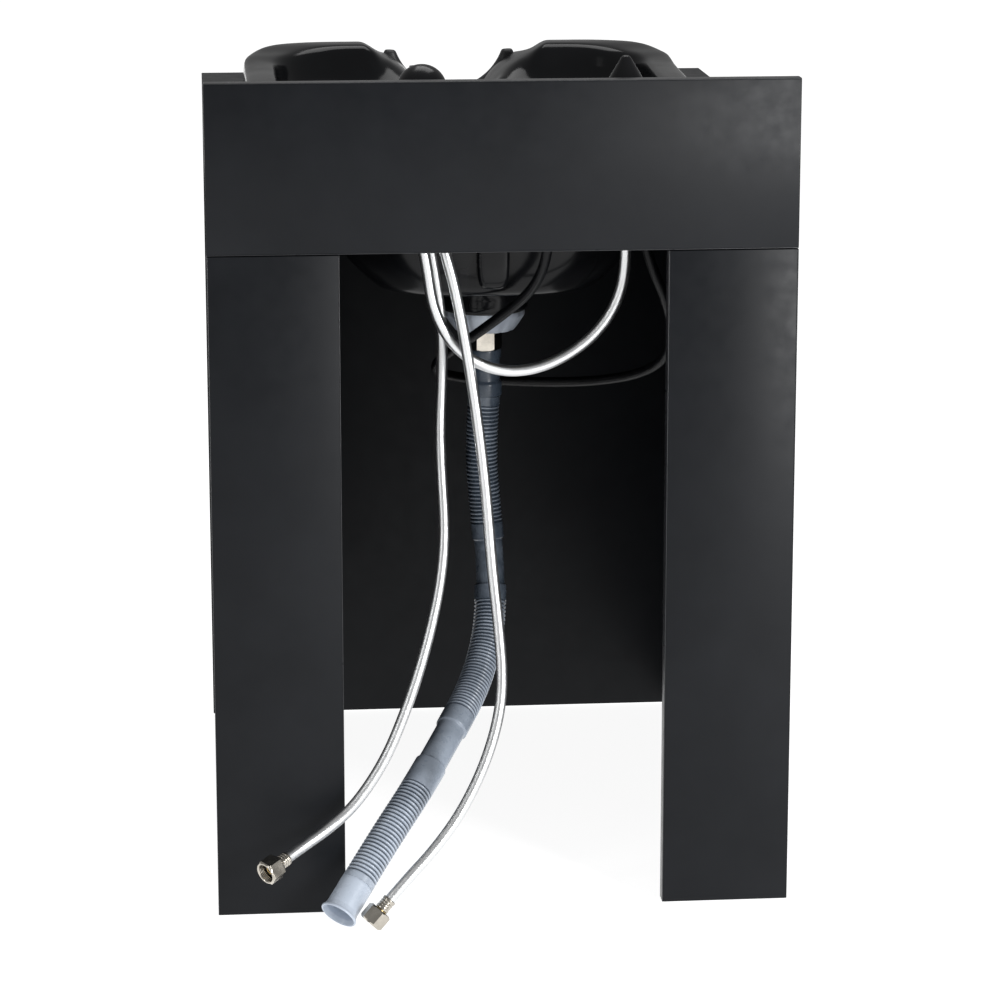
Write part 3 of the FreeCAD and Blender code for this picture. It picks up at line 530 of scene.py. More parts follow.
# ---------------------------------------------------------------- cords
# Each hose's route in metres, from its fitting under the deck to its other end, as in the CAD.
SUPPLY_LEFT = (
    (-0.075, -0.301, 0.717), (-0.066, -0.299, 0.668), (-0.057, -0.297, 0.606), (-0.058, -0.300, 0.545),
    (-0.061, -0.306, 0.498), (-0.060, -0.320, 0.448), (-0.058, -0.338, 0.396), (-0.063, -0.354, 0.350),
    (-0.074, -0.369, 0.304), (-0.088, -0.381, 0.258), (-0.104, -0.391, 0.215), (-0.125, -0.400, 0.168),
    (-0.156, -0.409, 0.124), (-0.185, -0.417, 0.101), (-0.210, -0.429, 0.088), (-0.229, -0.446, 0.0806),
)
SUPPLY_RIGHT = (
    (-0.065, -0.323, 0.717), (-0.051, -0.330, 0.672), (-0.039, -0.331, 0.614), (-0.028, -0.333, 0.546),
    (-0.020, -0.338, 0.483), (-0.014, -0.344, 0.421), (-0.010, -0.352, 0.359), (-0.004, -0.366, 0.298),
    (-0.001, -0.382, 0.244), (-0.008, -0.396, 0.202), (-0.025, -0.411, 0.157), (-0.050, -0.426, 0.114),
    (-0.079, -0.439, 0.080), (-0.105, -0.449, 0.056), (-0.124, -0.455, 0.036),
)
OUTLET = (
    (-0.083, -0.315, 0.717), (-0.0745, -0.315, 0.674), (-0.068, -0.315, 0.624), (-0.043, -0.315, 0.580),
    (0.000, -0.315, 0.558), (0.047, -0.315, 0.562), (0.093, -0.315, 0.588), (0.122, -0.315, 0.624),
    (0.134, -0.315, 0.670), (0.131, -0.318, 0.717),
)
SPRAY = (
    (0.053, -0.305, 0.7156), (0.053, -0.304, 0.688), (0.048, -0.291, 0.659), (0.036, -0.271, 0.633),
    (0.015, -0.248, 0.610), (-0.010, -0.221, 0.585), (-0.036, -0.190, 0.560), (-0.054, -0.152, 0.538),
    (-0.050, -0.108, 0.518), (-0.018, -0.080, 0.505), (0.028, -0.072, 0.500), (0.080, -0.082, 0.499),
    (0.128, -0.103, 0.504), (0.172, -0.138, 0.518), (0.194, -0.188, 0.545), (0.193, -0.240, 0.585),
    (0.178, -0.280, 0.630), (0.158, -0.301, 0.672), (0.146, -0.308, 0.717),
)
WASTE = (
    (0.000, -0.140, 0.499), (-0.005, -0.140, 0.440), (0.001, -0.142, 0.370), (0.006, -0.152, 0.305),
    (0.002, -0.182, 0.243), (-0.017, -0.228, 0.197), (-0.050, -0.290, 0.162), (-0.089, -0.350, 0.119),
    (-0.129, -0.395, 0.0765), (-0.157, -0.427, 0.043),
)


def smooth_line(name, route):
    """Points along the smooth curve whose control points are the route's."""
    curve = bpy.data.curves.new(name, "CURVE")
    curve.dimensions = "3D"
    curve.resolution_u = 32
    spline = curve.splines.new("NURBS")
    spline.points.add(len(route) - 1)
    for point, place in zip(spline.points, route):
        point.co = (*place, 1)
    spline.order_u = 3
    spline.use_endpoint_u = True
    guide = bpy.data.objects.new(name, curve)
    collection.objects.link(guide)
    mesh = bpy.data.meshes.new_from_object(guide)
    points = [vertex.co.copy() for vertex in mesh.vertices]
    bpy.data.objects.remove(guide)
    bpy.data.meshes.remove(mesh)
    return points


def length_of(points):
    """Length of the line through points."""
    return sum((b - a).length for a, b in zip(points, points[1:]))


def spaced(points, step):
    """The same line again, with points a step apart."""
    total = length_of(points)
    count = max(2, round(total / step))
    wanted = [total * index / count for index in range(count + 1)]
    result = []
    walked = 0.0
    index = 0
    for target in wanted:
        while index < len(points) - 2 and walked + (points[index + 1] - points[index]).length < target:
            walked += (points[index + 1] - points[index]).length
            index += 1
        run = points[index + 1] - points[index]
        share = (target - walked) / max(run.length, 1e-9)
        result.append((target, points[index].lerp(points[index + 1], share)))
    return result


def tube(name, points, radius_at, step, segments, slot, node, plain_radius):
    """A closed tube of the unit along a line, whose radius in metres may vary along and round it."""
    stations = spaced(points, step)
    places = [place for distance, place in stations]
    vertices = []
    relief = []
    side = None
    last = len(stations) - 1
    for index, (distance, place) in enumerate(stations):
        forward = (places[min(index + 1, last)] - places[max(index - 1, 0)]).normalized()
        side = forward.orthogonal() if side is None else side - forward * side.dot(forward)
        side.normalize()
        up = forward.cross(side)
        for step_round in range(segments):
            angle = 2 * math.pi * step_round / segments
            radius, raised = radius_at(distance, angle)
            vertices.append(place + (side * math.cos(angle) + up * math.sin(angle)) * radius)
            relief.append(raised)
    faces = ring_faces(len(stations), segments, closed=False)
    item = piece(name, vertices, faces, slot, "unit", (node,), sharp=60)
    mark_relief(item, relief)
    add_tube_uv(item.data, segments, [distance for distance, place in stations], plain_radius)
    return item


def add_tube_uv(mesh, segments, distances, radius):
    """U runs once round the tube, V along it in turns of the tube's girth."""
    layer = mesh.uv_layers.new(name="UVMap")
    girth = 2 * math.pi * radius
    for polygon in mesh.polygons:
        columns = [mesh.loops[loop].vertex_index % segments for loop in polygon.loop_indices]
        wraps = len(columns) == 4 and max(columns) - min(columns) > 1
        for loop, column in zip(polygon.loop_indices, columns):
            ring = mesh.loops[loop].vertex_index // segments
            across = column + segments if wraps and column == 0 else column
            layer.data[loop].uv = (across / segments, distances[ring] / girth)


BRAID_RADIUS = 5.8 * MM
SPRAY_RADIUS = 5.5 * MM
WEAVE_RELIEF = 0.12 * MM
BRAID_STEP = 0.75 * MM
SPRAY_STEP = 0.8 * MM
WASTE_STEP = 0.55 * MM
WOVEN_SEGMENTS = 48
WASTE_SEGMENTS = 56


def woven_radius(radius):
    """Radius of a tube whose skin is woven from two families of bands."""
    girth = 2 * math.pi * radius

    def radius_at(distance, angle):
        around = angle / (2 * math.pi)
        along = distance / girth
        first = math.sin(2 * math.pi * BRAID_COUNT * (around + along))
        second = math.sin(2 * math.pi * BRAID_COUNT * (around - along))
        raised = 0.5 + 0.5 * first * second
        return radius - WEAVE_RELIEF * (1 - raised), raised

    return radius_at


RIB_PITCH = 4.4
RIB_TOP = 17.5
RIB_GROOVE = 15.7
SMOOTH_RELIEF = 0.72
CUFF_RELIEF = 1.0
COUPLING_RELIEF = 0.55
# Stretches of the waste hose: end in millimetres along it, kind, radius.
WASTE_STRETCHES = (
    (10, "smooth", 17.3), (143, "ribs", RIB_TOP), (160, "smooth", 17.5), (211, "smooth", 15.4),
    (230, "smooth", 17.5), (381, "ribs", RIB_TOP), (402, "smooth", 17.5), (456, "smooth", 15.6),
    (492, "smooth", 17.5), (612, "ribs", RIB_TOP), (700, "smooth", 17.4),
)
STEP_WIDTH = 2.2


def waste_radius(distance, angle):
    """Ribbed, smooth and stepped stretches of the corrugated hose."""
    along = distance / MM
    start = 0
    previous = None
    for end, kind, radius in WASTE_STRETCHES:
        if along <= end:
            break
        start, previous = end, (kind, radius)
    if kind == "ribs":
        wave = 0.5 - 0.5 * math.cos(2 * math.pi * (along - start) / RIB_PITCH)
        raised = wave ** 0.6
        return (RIB_GROOVE + (radius - RIB_GROOVE) * raised) * MM, raised
    if previous and previous[0] == "smooth":
        radius = previous[1] + (radius - previous[1]) * smoothstep(0, STEP_WIDTH, along - start)
    return radius * MM, SMOOTH_RELIEF


def direction_of(route):
    """The way a route runs at its far end."""
    return (Vector(route[-1]) - Vector(route[-2])).normalized()


SLEEVE_RADIUS = 7.3
SLEEVE_END_RADIUS = 6.6
CRIMP_RADIUS = 6.7


def sleeve(name, end, axis, length, node):
    """A crimped nickel sleeve of the unit that starts at a hose's end."""
    outline = [(0, 0), (SLEEVE_END_RADIUS, 0), (SLEEVE_RADIUS, 0.8)]
    for crimp in (0.3, 0.5, 0.7):
        middle = crimp * length
        outline += [(SLEEVE_RADIUS, middle - 1.1), (CRIMP_RADIUS, middle - 0.4)]
        outline += [(CRIMP_RADIUS, middle + 0.4), (SLEEVE_RADIUS, middle + 1.1)]
    outline += [(SLEEVE_RADIUS, length - 0.8), (SLEEVE_END_RADIUS, length), (0, length)]
    return spun(name, outline, "nickel", "unit", (node,), at=end, axis=axis, reach=0.25)


def thread(outer, inner, start, end, pitch):
    """Thread crests and roots from one height to another."""
    points = []
    height = start
    way = 1 if end > start else -1
    while (end - height) * way > pitch:
        points += [(outer, height + way * pitch * 0.35), (inner, height + way * pitch * 0.85)]
        height += way * pitch
    return points


NUT_FLATS = 24
THREAD_PITCH = 1.81
THREAD_CREST = 9.35
THREAD_ROOT = 9.95
SLEEVE_LENGTH = 14
LONG_SLEEVE_LENGTH = 24.5
TAIL_OUTLINE = ((3.2, 0), (6.5, 0), (6.5, 6), (8.8, 6), (8.8, 8), (4.9, 8), (4.9, 11.5), (3.2, 11.5))
SEAL_OUTLINE = ((5, 8), (8.8, 8), (8.8, 10), (5, 10))


def swivel_nut_outline():
    """Section of the hexagonal nut: throat over the tail, chamfers, thread, and room for the washer."""
    corner = NUT_FLATS / 2 / math.cos(math.pi / 6)
    outline = [(6.55, 0.4), (10.9, 0.4), (corner, 2.3), (corner, 16.5), (11.4, 18.4), (10.3, 18.4)]
    outline += thread(THREAD_CREST, THREAD_ROOT, 17.6, 10.3, THREAD_PITCH)
    outline += [(10.2, 10.1), (10.2, 5.6), (6.55, 5.6)]
    return outline


def supply_end(side, route):
    """Sleeve, brass tail, rubber washer and hexagonal swivel nut on the free end of a supply hose."""
    axis = direction_of(route)
    start = Vector(route[-1]) / MM
    base = start + axis * SLEEVE_LENGTH
    ferrule = sleeve(f"supply_sleeve_{side}", start, axis, SLEEVE_LENGTH, f"supply_ferrule_{side}")
    tail = spun(f"supply_brass_tail_{side}", TAIL_OUTLINE, "brass", "unit", (f"supply_tail_{side}",), at=base,
                axis=axis, reach=0.3)
    washer = spun(f"supply_seal_{side}", SEAL_OUTLINE, "black_rubber", "unit",
                  (f"supply_washer_{side}",), at=base,
                  axis=axis, reach=0.5)
    body = f"supply_nut_{side}"
    nut = spun(f"supply_hex_nut_{side}", swivel_nut_outline(), "nickel", body, (body,), at=base, axis=axis,
               flats=NUT_FLATS, reach=0.25, segments=96)
    return [ferrule, tail, washer, nut]


CUFF_OUTLINE = (
    (0, 0), (17.3, 0), (17.5, 3), (17.5, 31), (18.2, 34), (19, 36.4), (19.9, 37.6), (20, 39.2), (19.2, 40),
    (18.2, 39.6), (17.4, 37.6), (16.2, 34.5), (16, 30), (16, 4), (0, 4),
)


def waste_cuff():
    """Bell-ended cuff with a beaded rim."""
    item = spun("drain_bell_cuff", CUFF_OUTLINE, "grey_plastic", "unit", ("drain_hose_cuff",),
                at=Vector(WASTE[-1]) / MM, axis=direction_of(WASTE), reach=0.5, segments=96)
    mark_even_relief(item, CUFF_RELIEF)
    return item


def supply_hose(side, route):
    path = smooth_line(f"supply_{side}_line", route)
    item = tube(f"supply_hose_{side}_braided", path, woven_radius(BRAID_RADIUS), BRAID_STEP, WOVEN_SEGMENTS,
                "braid", f"supply_hose_{side}", BRAID_RADIUS)
    supply_end(side, route)


def outlet_hose():
    path = smooth_line("outlet_line", OUTLET)
    item = tube("outlet_hose_braided", path, woven_radius(BRAID_RADIUS), BRAID_STEP, WOVEN_SEGMENTS, "braid",
                "outlet_hose", BRAID_RADIUS)


def spray_hose():
    path = smooth_line("spray_line", SPRAY)
    item = tube("spray_hose_black", path, woven_radius(SPRAY_RADIUS), SPRAY_STEP, WOVEN_SEGMENTS,
                "black_hose",
                "spray_hose", SPRAY_RADIUS)
    # The tube already has its body as a parent; it is taken off it again here.
    item.parent = None
    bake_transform(item)


def waste_hose():
    path = smooth_line("waste_line", WASTE)
    item = tube("drain_hose_corrugated", path, waste_radius, WASTE_STEP, WASTE_SEGMENTS, "grey_plastic",
                "drain_hose", RIB_TOP * MM)
    waste_cuff()


supply_hose("left", SUPPLY_LEFT)
supply_hose("right", SUPPLY_RIGHT)
outlet_hose()
spray_hose()
waste_hose()


# ---------------------------------------------------------------- cabinet
BOARDS = ("back_apron", "back_leg_left", "back_leg_right", "side_panel_left", "side_panel_right",
          "front_panel",
          "deck_board", "deck_edge_strips")
BOARD_EASE = 0.5
BAND_EASE = 0.45
STEEL_EASE = 0.3


def cabinet():
    """Boards with eased edges, their edge bands, and the steel that holds them together."""
    for node in BOARDS:
        refined(node, "melamine", BOARD_EASE)
    for node in ("apron_edge_bands", "leg_edge_bands"):
        refined(node, "melamine", BAND_EASE, material="banding")
    for node in ("angle_brackets", "bracket_screws"):
        refined(node, "black_steel", STEEL_EASE)


cabinet()


# ---------------------------------------------------------------- bowl
DRAIN_Y = -140
NECK_RADIUS = 52
NECK_AXIS = 817
FLARE_START = 40
FLARE_END = 78
FLARE_POWER = 1.6
EAR_HEIGHT = 816
SHOULDER_HEIGHT = 840
SHOULDER_FADE = (68, 116)
SPOUT_UNDERSIDE = 760
SPOUT_SIDE_RISE = 40
SPOUT_HALF = 82
SPOUT_FADE = (76, 97)
# Behind this Y the rim is the plain one, without the neck's shape.
NECK_REACH_Y = 200
# Height of the rim's crest at each Y.
RIM_HEIGHTS = ((-275, 808), (-180, 812), (0, 818), (115, 823), (185, 826), (235, 832), (285, 839), (400, 840))
# X of the points along the front side; the neck trough needs the most of them.
FRONT_SAMPLES = (157, 150, 142, 134, 126, 118, 112, 106, 100, 95, 90, 86, 82, 78, 74, 70, 66, 62, 58, 55,
                 52.5, 50,
                 46, 40, 33, 25, 16, 8, 0)
FRONT_HALF = FRONT_SAMPLES[0]
SAME_X = 100
CORNER_STEPS = 10
SIDE_STEPS = 14
REAR_STEPS = 16


def rim_height(y):
    """Height of the rim's crest, which rises from the mixer's end to the shoulders."""
    for (y0, z0), (y1, z1) in zip(RIM_HEIGHTS, RIM_HEIGHTS[1:]):
        if y <= y1:
            return z0 + (z1 - z0) * smoothstep(y0, y1, y)
    return RIM_HEIGHTS[-1][1]


def neck_height(x):
    """Height of the rim across the front: the round neck trough, flat ears, then the shoulders."""
    across = abs(x)
    if across <= FLARE_START:
        return NECK_AXIS - math.sqrt(NECK_RADIUS ** 2 - across ** 2)
    edge = NECK_AXIS - math.sqrt(NECK_RADIUS ** 2 - FLARE_START ** 2)
    flare = 1 - max(0.0, 1 - (across - FLARE_START) / (FLARE_END - FLARE_START)) ** FLARE_POWER
    ear = edge + (EAR_HEIGHT - edge) * flare
    return ear + (SHOULDER_HEIGHT - EAR_HEIGHT) * smoothstep(*SHOULDER_FADE, across)


def neck_under(x):
    """Underside of the neck spout."""
    return SPOUT_UNDERSIDE + SPOUT_SIDE_RISE * min(1.0, abs(x) / SPOUT_HALF) ** 12


def front_x(sample, straight):
    """X of a front point on an outline whose straight part ends at plus and minus straight."""
    size = abs(sample)
    if straight <= SAME_X:
        return sample * straight / FRONT_HALF
    if size > SAME_X:
        size = SAME_X + (size - SAME_X) * (straight - SAME_X) / (FRONT_HALF - SAME_X)
    return math.copysign(size, sample)


def plan(half, rear, front, corner):
    """A rounded rectangle seen from above, as (x, y, on the front side) points."""
    straight = half - corner
    samples = list(FRONT_SAMPLES) + [-x for x in FRONT_SAMPLES[-2::-1]]
    points = [(front_x(sample, straight), front, True) for sample in samples[:-1]]

    def bend(centre_x, centre_y, start):
        for step in range(CORNER_STEPS):
            angle = math.radians(start + 90 * step / CORNER_STEPS)
            points.append((centre_x + corner * math.cos(angle), centre_y + corner * math.sin(angle), False))

    def run(x0, y0, x1, y1, steps):
        for step in range(steps):
            points.append((x0 + (x1 - x0) * step / steps, y0 + (y1 - y0) * step / steps, False))

    bend(-straight, front - corner, 90)
    run(-half, front - corner, -half, rear + corner, SIDE_STEPS)
    bend(-straight, rear + corner, 180)
    run(-straight, rear, straight, rear, REAR_STEPS)
    bend(straight, rear + corner, 270)
    run(half, rear + corner, half, front - corner, SIDE_STEPS)
    bend(straight, front - corner, 0)
    return points


FLOOR_PLAN = (111, -227, 1, 72)


def disc(radius, height):
    """A round ring about the drain, with as many points as the plan outlines."""
    ring = []
    for x, y, is_front in plan(*FLOOR_PLAN):
        way = Vector((x, y - DRAIN_Y, 0)).normalized() * radius
        ring.append(Vector((way.x, way.y + DRAIN_Y, height)))
    return ring


def level(height, half, rear, front, corner):
    """A plan outline at one height."""
    return [Vector((x, y, height)) for x, y, is_front in plan(half, rear, front, corner)]


def upper(kind, drop, neck_y, half, rear, front, corner):
    """A ring near the rim, carried forward to neck_y by the neck spout. Drop is a rim ring's depth under the
    crest, and the height of any other ring."""
    ring = []
    for x, y, is_front in plan(half, rear, front, corner):
        crest = rim_height(y)
        height = crest - drop if kind == "rim" else drop
        if is_front or y > NECK_REACH_Y:
            top = neck_height(x)
            spout = 1 - smoothstep(*SPOUT_FADE, abs(x))
            carried = spout
            if kind == "wall":
                carried = spout * smoothstep(0, 24, height - top + 12)
                height = min(height, top)
            elif kind == "rim":
                height = min(crest, top) - drop * (1 - 0.75 * spout)
            elif kind == "skirt":
                height += (neck_under(x) + 4 - height) * spout
            else:
                height += (neck_under(x) - height) * spout
            y += (neck_y - y) * carried
        ring.append(Vector((x, y, height)))
    return ring


def bowl_rings():
    """All rings of the bowl, from the drain hole over the rim and back to the drain hole."""
    return [
        disc(21, 601),
        disc(21, 611),
        disc(22.5, 612.2),
        disc(34, 612.4),
        disc(43, 612.6),
        disc(44, 614),
        disc(44.4, 620),
        disc(47.5, 626),
        level(628.2, 96, -212, -14, 60),
        level(630, 107, -223, -2, 70),
        level(635, 114, -229, 8, 74),
        level(644, 125, -236, 27, 77),
        level(661, 146, -244, 59, 80),
        level(681, 158, -246, 92, 81),
        level(704, 171, -247, 130, 81),
        level(734, 184, -248, 169, 82),
        upper("wall", 757, 204, 195, -249, 200, 82),
        upper("wall", 775, 222, 203, -249, 224, 83),
        upper("wall", 790, 240, 209, -250, 243, 83),
        upper("wall", 800, 258, 213, -250, 257, 83),
        upper("rim", 8, 278, 214, -251, 262, 84),
        upper("rim", 3, 292, 216, -252.5, 266, 85),
        upper("rim", 0.8, 304, 218.4, -254, 270, 86),
        upper("rim", 0, 316, 222, -256, 275, 87),
        upper("rim", 0, 334, 232, -262, 290, 90),
        upper("rim", 0.2, 350, 242, -268, 302, 92.5),
        upper("rim", 1.4, 362, 247, -271.5, 307, 93.5),
        upper("rim", 4.6, 372, 250.4, -274, 310.4, 94.5),
        upper("rim", 10, 378, 251.8, -274.9, 311.8, 95),
        upper("skirt", 804, 381.5, 252, -275, 312, 95),
        upper("skirt", 801, 381.5, 251.5, -274.5, 311.5, 95),
        upper("under", 800.3, 378, 249, -272, 309, 94),
        upper("under", 800.3, 300, 219, -256, 270, 88),
        upper("under", 797, 262, 217, -255, 258, 88),
        upper("under", 778, 240, 208, -254, 233, 88),
        upper("under", 757, 214, 200, -253, 206, 87),
        level(734, 189, -252.6, 174, 87),
        level(704, 176, -252, 135, 86),
        level(679, 163, -251, 97, 86),
        level(657, 151, -250, 64, 85),
        level(641, 135, -243, 37, 83),
        level(630, 124, -238, 17, 81),
        level(624, 116, -231, 6, 76),
        level(621.4, 104, -219, -8, 66),
        disc(62, 621),
        disc(52, 620.4),
        disc(49, 618.6),
        disc(48, 614),
        disc(48, 598.4),
        disc(46.6, 596.6),
        disc(44, 596),
        disc(24, 596),
        disc(21, 597.4),
    ]


def subdivided(item):
    """One level of subdivision surface."""
    modifier = item.modifiers.new("smooth", "SUBSURF")
    modifier.levels = 1
    modifier.render_levels = 1
    return item


def bowl():
    """The moulded bowl and the overflow channel behind it."""
    vertices, faces = joined_rings(bowl_rings())
    subdivided(piece("bowl_moulded", vertices, faces, "bowl_plastic", "unit", ("bowl",), sharp=ALL_SMOOTH))
    overflow_duct()


# Height, half width, back face and face against the basin, at each level of the overflow channel.
DUCT_LEVELS = (
    (803, 18, -262, -254), (760, 18, -262, -251), (700, 17.5, -261.5, -249.5), (660, 17, -261, -246.5),
    (648, 16.4, -260.5, -243), (640, 14.5, -258.5, -240), (635.5, 11, -254, -239), (634, 7, -248, -238),
)


DUCT_STEPS = 28
DUCT_POWER = 0.45


def overflow_duct():
    """The overflow channel down the outside of the basin's rear wall, round-ended at its foot."""
    rings = []
    for height, half, back, against in DUCT_LEVELS:
        middle, depth = (back + against) / 2, (against - back) / 2
        ring = []
        for step in range(DUCT_STEPS):
            angle = 2 * math.pi * step / DUCT_STEPS
            x = half * squared(math.cos(angle), DUCT_POWER)
            y = middle + depth * squared(math.sin(angle), DUCT_POWER)
            ring.append(Vector((x, y, height)))
        rings.append(ring)
    vertices, faces = joined_rings(rings, closed=False)
    piece("bowl_overflow_duct", vertices, faces, "bowl_plastic", "unit", ("bowl",), sharp=60)


bowl()


# ---------------------------------------------------------------- neck collar
COLLAR_STEPS = 56
COLLAR_ROUND = 20
COLLAR_Y = 378.8
COLLAR_HALF = 85
COLLAR_DROP = 60.5
COLLAR_INNER = 46
COLLAR_OPENING = 19
COLLAR_SWEEP = 93
COLLAR_DEPTH = 11
TIP_THINNING = 3
TIP_NARROWING = 7
COLLAR_POWER = 0.7


def collar_edge(angle):
    """Distance from the neck's axis to the collar's squared outer edge."""
    return ((abs(math.cos(angle)) / COLLAR_HALF) ** 4 + (abs(math.sin(angle)) / COLLAR_DROP) ** 4) ** -0.25


def neck_collar():
    """Soft collar round the end of the neck trough, drawn out into a pointed tip on each side."""
    rings = []
    for step in range(COLLAR_STEPS + 1):
        share = 2 * step / COLLAR_STEPS - 1
        angle = math.radians(-90 + COLLAR_SWEEP * share)
        inner = COLLAR_INNER + COLLAR_OPENING * max(0.0, (abs(share) - 0.3) / 0.7) ** 1.6
        outer = collar_edge(angle) - TIP_NARROWING * smoothstep(0.85, 1, abs(share))
        deep = COLLAR_DEPTH - TIP_THINNING * smoothstep(0.7, 1, abs(share))
        ring = []
        for turn in range(COLLAR_ROUND):
            around = 2 * math.pi * turn / COLLAR_ROUND
            reach = (inner + outer) / 2 + squared(math.cos(around), COLLAR_POWER) * (outer - inner) / 2
            y = COLLAR_Y + squared(math.sin(around), COLLAR_POWER) * deep
            ring.append(Vector((reach * math.cos(angle), y, NECK_AXIS + reach * math.sin(angle))))
        rings.append(ring)
    vertices, faces = joined_rings(rings, closed=False)
    item = piece("neck_collar", vertices, faces, "soft_black", "unit", ("neck_rest_pad",), sharp=ALL_SMOOTH)
    subdivided(item)


neck_collar()


# ---------------------------------------------------------------- waste fittings
BOSS_RADIUS = 48
FRAME_X = -6
FRAME_Z = 606
FRAME_RELIEF = 0.6
FRAME_DEPTH = 2
FRAME_STEPS = 32
FRAME_POWER = 0.3
# Half width and half height of the frame's outside and inside.
FRAME_OUTSIDE = (14, 5)
FRAME_INSIDE = (12.6, 3.6)


def boss_tag():
    """A small raised frame on the rear of the drain boss, bent to the boss's curve."""
    back = DRAIN_Y - BOSS_RADIUS - FRAME_RELIEF
    sunk = back + FRAME_DEPTH
    rings = []
    outline = ((FRAME_OUTSIDE, sunk), (FRAME_OUTSIDE, back), (FRAME_INSIDE, back), (FRAME_INSIDE, sunk))
    for (half_x, half_z), y in outline:
        ring = []
        for step in range(FRAME_STEPS):
            angle = 2 * math.pi * step / FRAME_STEPS
            x = squared(math.cos(angle), FRAME_POWER) * half_x + FRAME_X
            z = squared(math.sin(angle), FRAME_POWER) * half_z + FRAME_Z
            bend = BOSS_RADIUS - math.sqrt(BOSS_RADIUS ** 2 - x ** 2)
            ring.append(Vector((x, y + bend, z)))
        rings.append(ring)
    vertices, faces = joined_rings(rings)
    piece("drain_boss_frame", vertices, faces, "bowl_plastic", "unit", sharp=50)


LOCKNUT_GRIPS = 12
GRIP_DEPTH = 1.3
LOCKNUT_HOLE = 30
TAIL_NUT_FLATS = 33
LOCKNUT_OUTLINE = (
    (20.2, 572), (32, 572), (33, 573), (37, 578), (43.4, 588), (44, 589), (44, 594), (20.2, 594),
)
TAIL_NUT_OUTLINE = ((14.05, 550), (17.2, 550), (19, 551.6), (19, 570.4), (17.2, 572), (14.05, 572))
COUPLING_OUTLINE = (
    (14.05, 503), (14.05, 550), (17.6, 550), (18, 549), (18, 541), (16.6, 539), (16.6, 516), (19, 513),
    (19, 500),
    (18.4, 499), (12, 499), (12, 503),
)
DRAIN_FINISHES = (
    ("drain_flange", "stainless", 0.5),
    ("hair_basket", "stainless", 0.4),
    ("drain_gasket", "black_rubber", 0.6),
)


def gripped(radius, angle):
    """The locknut's outside, with hollows round it for fingers; its hole stays round."""
    if radius < LOCKNUT_HOLE:
        return radius
    return radius - GRIP_DEPTH * (0.5 + 0.5 * math.cos(LOCKNUT_GRIPS * angle)) ** 3


def drain_parts():
    """Everything on the drain, from the strainer flange down to the hose."""
    boss_tag()
    at = (0, DRAIN_Y, 0)
    for node, slot, ease in DRAIN_FINISHES:
        refined(node, slot, ease)
    spun("drain_clamp_nut", LOCKNUT_OUTLINE, "pale_plastic", "unit", ("drain_locknut",), at=at, lobes=gripped,
         reach=0.8, segments=144)
    spun("tail_hex_nut", TAIL_NUT_OUTLINE, "nickel", "unit", ("tail_nut",), at=at, flats=TAIL_NUT_FLATS,
         reach=0.3,
         segments=96)
    item = spun("drain_slip_coupling", COUPLING_OUTLINE, "grey_plastic", "unit", ("drain_coupling",), at=at,
                reach=0.6)
    mark_even_relief(item, COUPLING_RELIEF)


drain_parts()


# ---------------------------------------------------------------- deck fittings
# CAD node, material slot, width of its eased edges, and steps across them.
FITTING_FINISHES = (
    ("mixer_gasket", "black_rubber", 0.4, 2),
    ("mixer_body", "black_gloss", 0.8, 2),
    ("mixer_cartridge", "grey_liner", 0.4, 2),
    ("mixer_bonnet", "black_gloss", 0.5, 2),
    ("mixer_carrier", "grey_liner", 0.3, 2),
    ("mixer_stem", "brass", 0.3, 2),
    ("mixer_lever", "black_gloss", 1.6, 3),
    ("breaker_body", "black_gloss", 0.8, 2),
    ("breaker_bonnet", "black_gloss", 1.2, 3),
    ("breaker_poppet", "grey_liner", 0.4, 2),
    ("shower_bushing", "black_gloss", 0.8, 2),
    ("hand_shower_body", "black_gloss", 0.8, 2),
    ("hand_shower_face", "grey_liner", 0.6, 2),
    ("hand_shower_collar", "nickel", 0.5, 2),
)


def deck_fittings():
    """The mixer, vacuum breaker and hand shower, and the sleeves on the hoses under them."""
    for name in ("mixer", "breaker", "shower"):
        refined(f"{name}_washer", "zinc_steel", 0.3)
        refined(f"{name}_nut", "brass", 0.5)
    for node, slot, ease, steps in FITTING_FINISHES:
        refined(node, slot, ease, steps)
    for index, route in enumerate((SUPPLY_LEFT, SUPPLY_RIGHT, OUTLET)):
        way = Vector(route[0]) - Vector(route[1])
        sleeve(f"mixer_sleeve_{index}", Vector(route[0]) / MM, way, LONG_SLEEVE_LENGTH, "mixer_ferrules")
    for index, route in enumerate((OUTLET, SPRAY)):
        end, way = Vector(route[-1]) / MM, direction_of(route)
        sleeve(f"breaker_sleeve_{index}", end, way, LONG_SLEEVE_LENGTH, "breaker_ferrules")


deck_fittings()


# ---------------------------------------------------------------- stage and light
WHITE = (1, 1, 1, 1)
FLOOR_HALF = 30
FLOOR_DROP = 0.0005
FLOOR_GLOW = 0.93
ROOM_LIGHT = 0.3
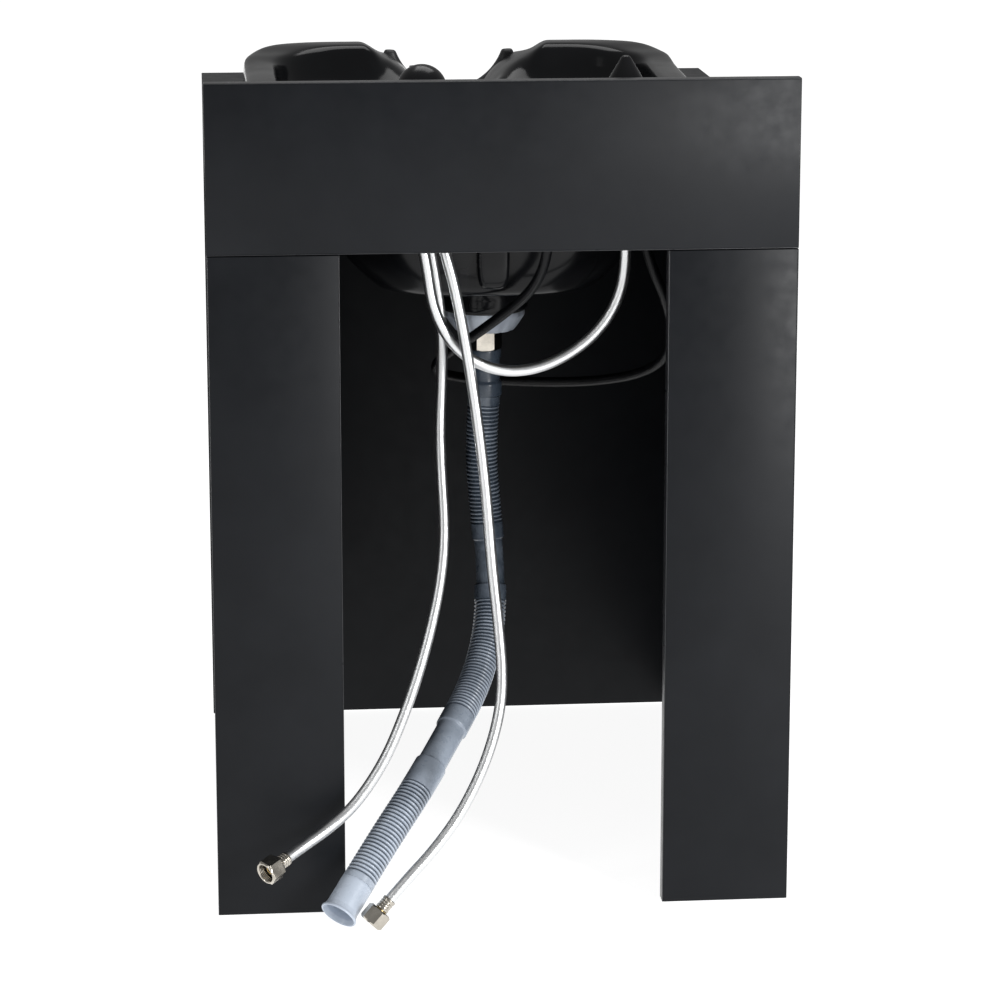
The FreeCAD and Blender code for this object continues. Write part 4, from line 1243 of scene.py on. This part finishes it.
# Name, place, the point it faces, width and height in metres, and power in watts.
STUDIO_LIGHTS = (
    ("key", (2.0, -2.9, 1.1), (0.0, -0.35, 0.25), (0.8, 1.2), 95),
    ("fill", (-2.4, -2.0, 1.4), (0, -0.3, 0.4), (0.4, 1.6), 10),
    ("top", (0.2, 0.6, 2.6), (0, 0.1, 0.8), (1.6, 1.2), 22),
)


def stage_floor():
    """A plain pale floor that glows a little, just under the feet."""
    half = FLOOR_HALF
    mesh = bpy.data.meshes.new("floor")
    corners = [(-half, -half, 0), (half, -half, 0), (half, half, 0), (-half, half, 0)]
    mesh.from_pydata(corners, [], [(0, 1, 2, 3)])
    recipe = Recipe("floor", (0.5, 0.5, 0.5), 0.7, Specular_IOR_Level=0.1, Emission_Strength=FLOOR_GLOW)
    recipe.shader.inputs["Emission Color"].default_value = WHITE
    recipe.colours(recipe.noise(0.6, 2), (0.46, 0.46, 0.46), (0.52, 0.52, 0.52))
    mesh.materials.append(recipe.material)
    floor = bpy.data.objects.new("floor", mesh)
    floor.location.z = -FLOOR_DROP
    collection.objects.link(floor)


def soft_light(name, place, target, size, power):
    """A rectangular light that faces a point."""
    data = bpy.data.lights.new(name, "AREA")
    data.shape = "RECTANGLE"
    data.size, data.size_y = size
    data.energy = power
    lamp = bpy.data.objects.new(name, data)
    lamp.location = place
    lamp.rotation_euler = (Vector(target) - Vector(place)).to_track_quat("-Z", "Y").to_euler()
    collection.objects.link(lamp)


def lights():
    """A white backdrop that lights the object less than it shows, and three soft lights."""
    world = bpy.data.worlds.new("studio")
    world.use_nodes = True
    tree = world.node_tree
    backdrop = tree.nodes["Background"]
    backdrop.inputs["Color"].default_value = WHITE
    seen = tree.nodes.new("ShaderNodeLightPath")
    strength = tree.nodes.new("ShaderNodeMapRange")
    strength.inputs["To Min"].default_value = ROOM_LIGHT
    strength.inputs["To Max"].default_value = 1.0
    tree.links.new(seen.outputs["Is Camera Ray"], strength.inputs["Value"])
    tree.links.new(strength.outputs["Result"], backdrop.inputs["Strength"])
    bpy.context.scene.world = world
    bpy.context.scene.view_settings.view_transform = "Standard"
    for light in STUDIO_LIGHTS:
        soft_light(*light)


stage_floor()
lights()
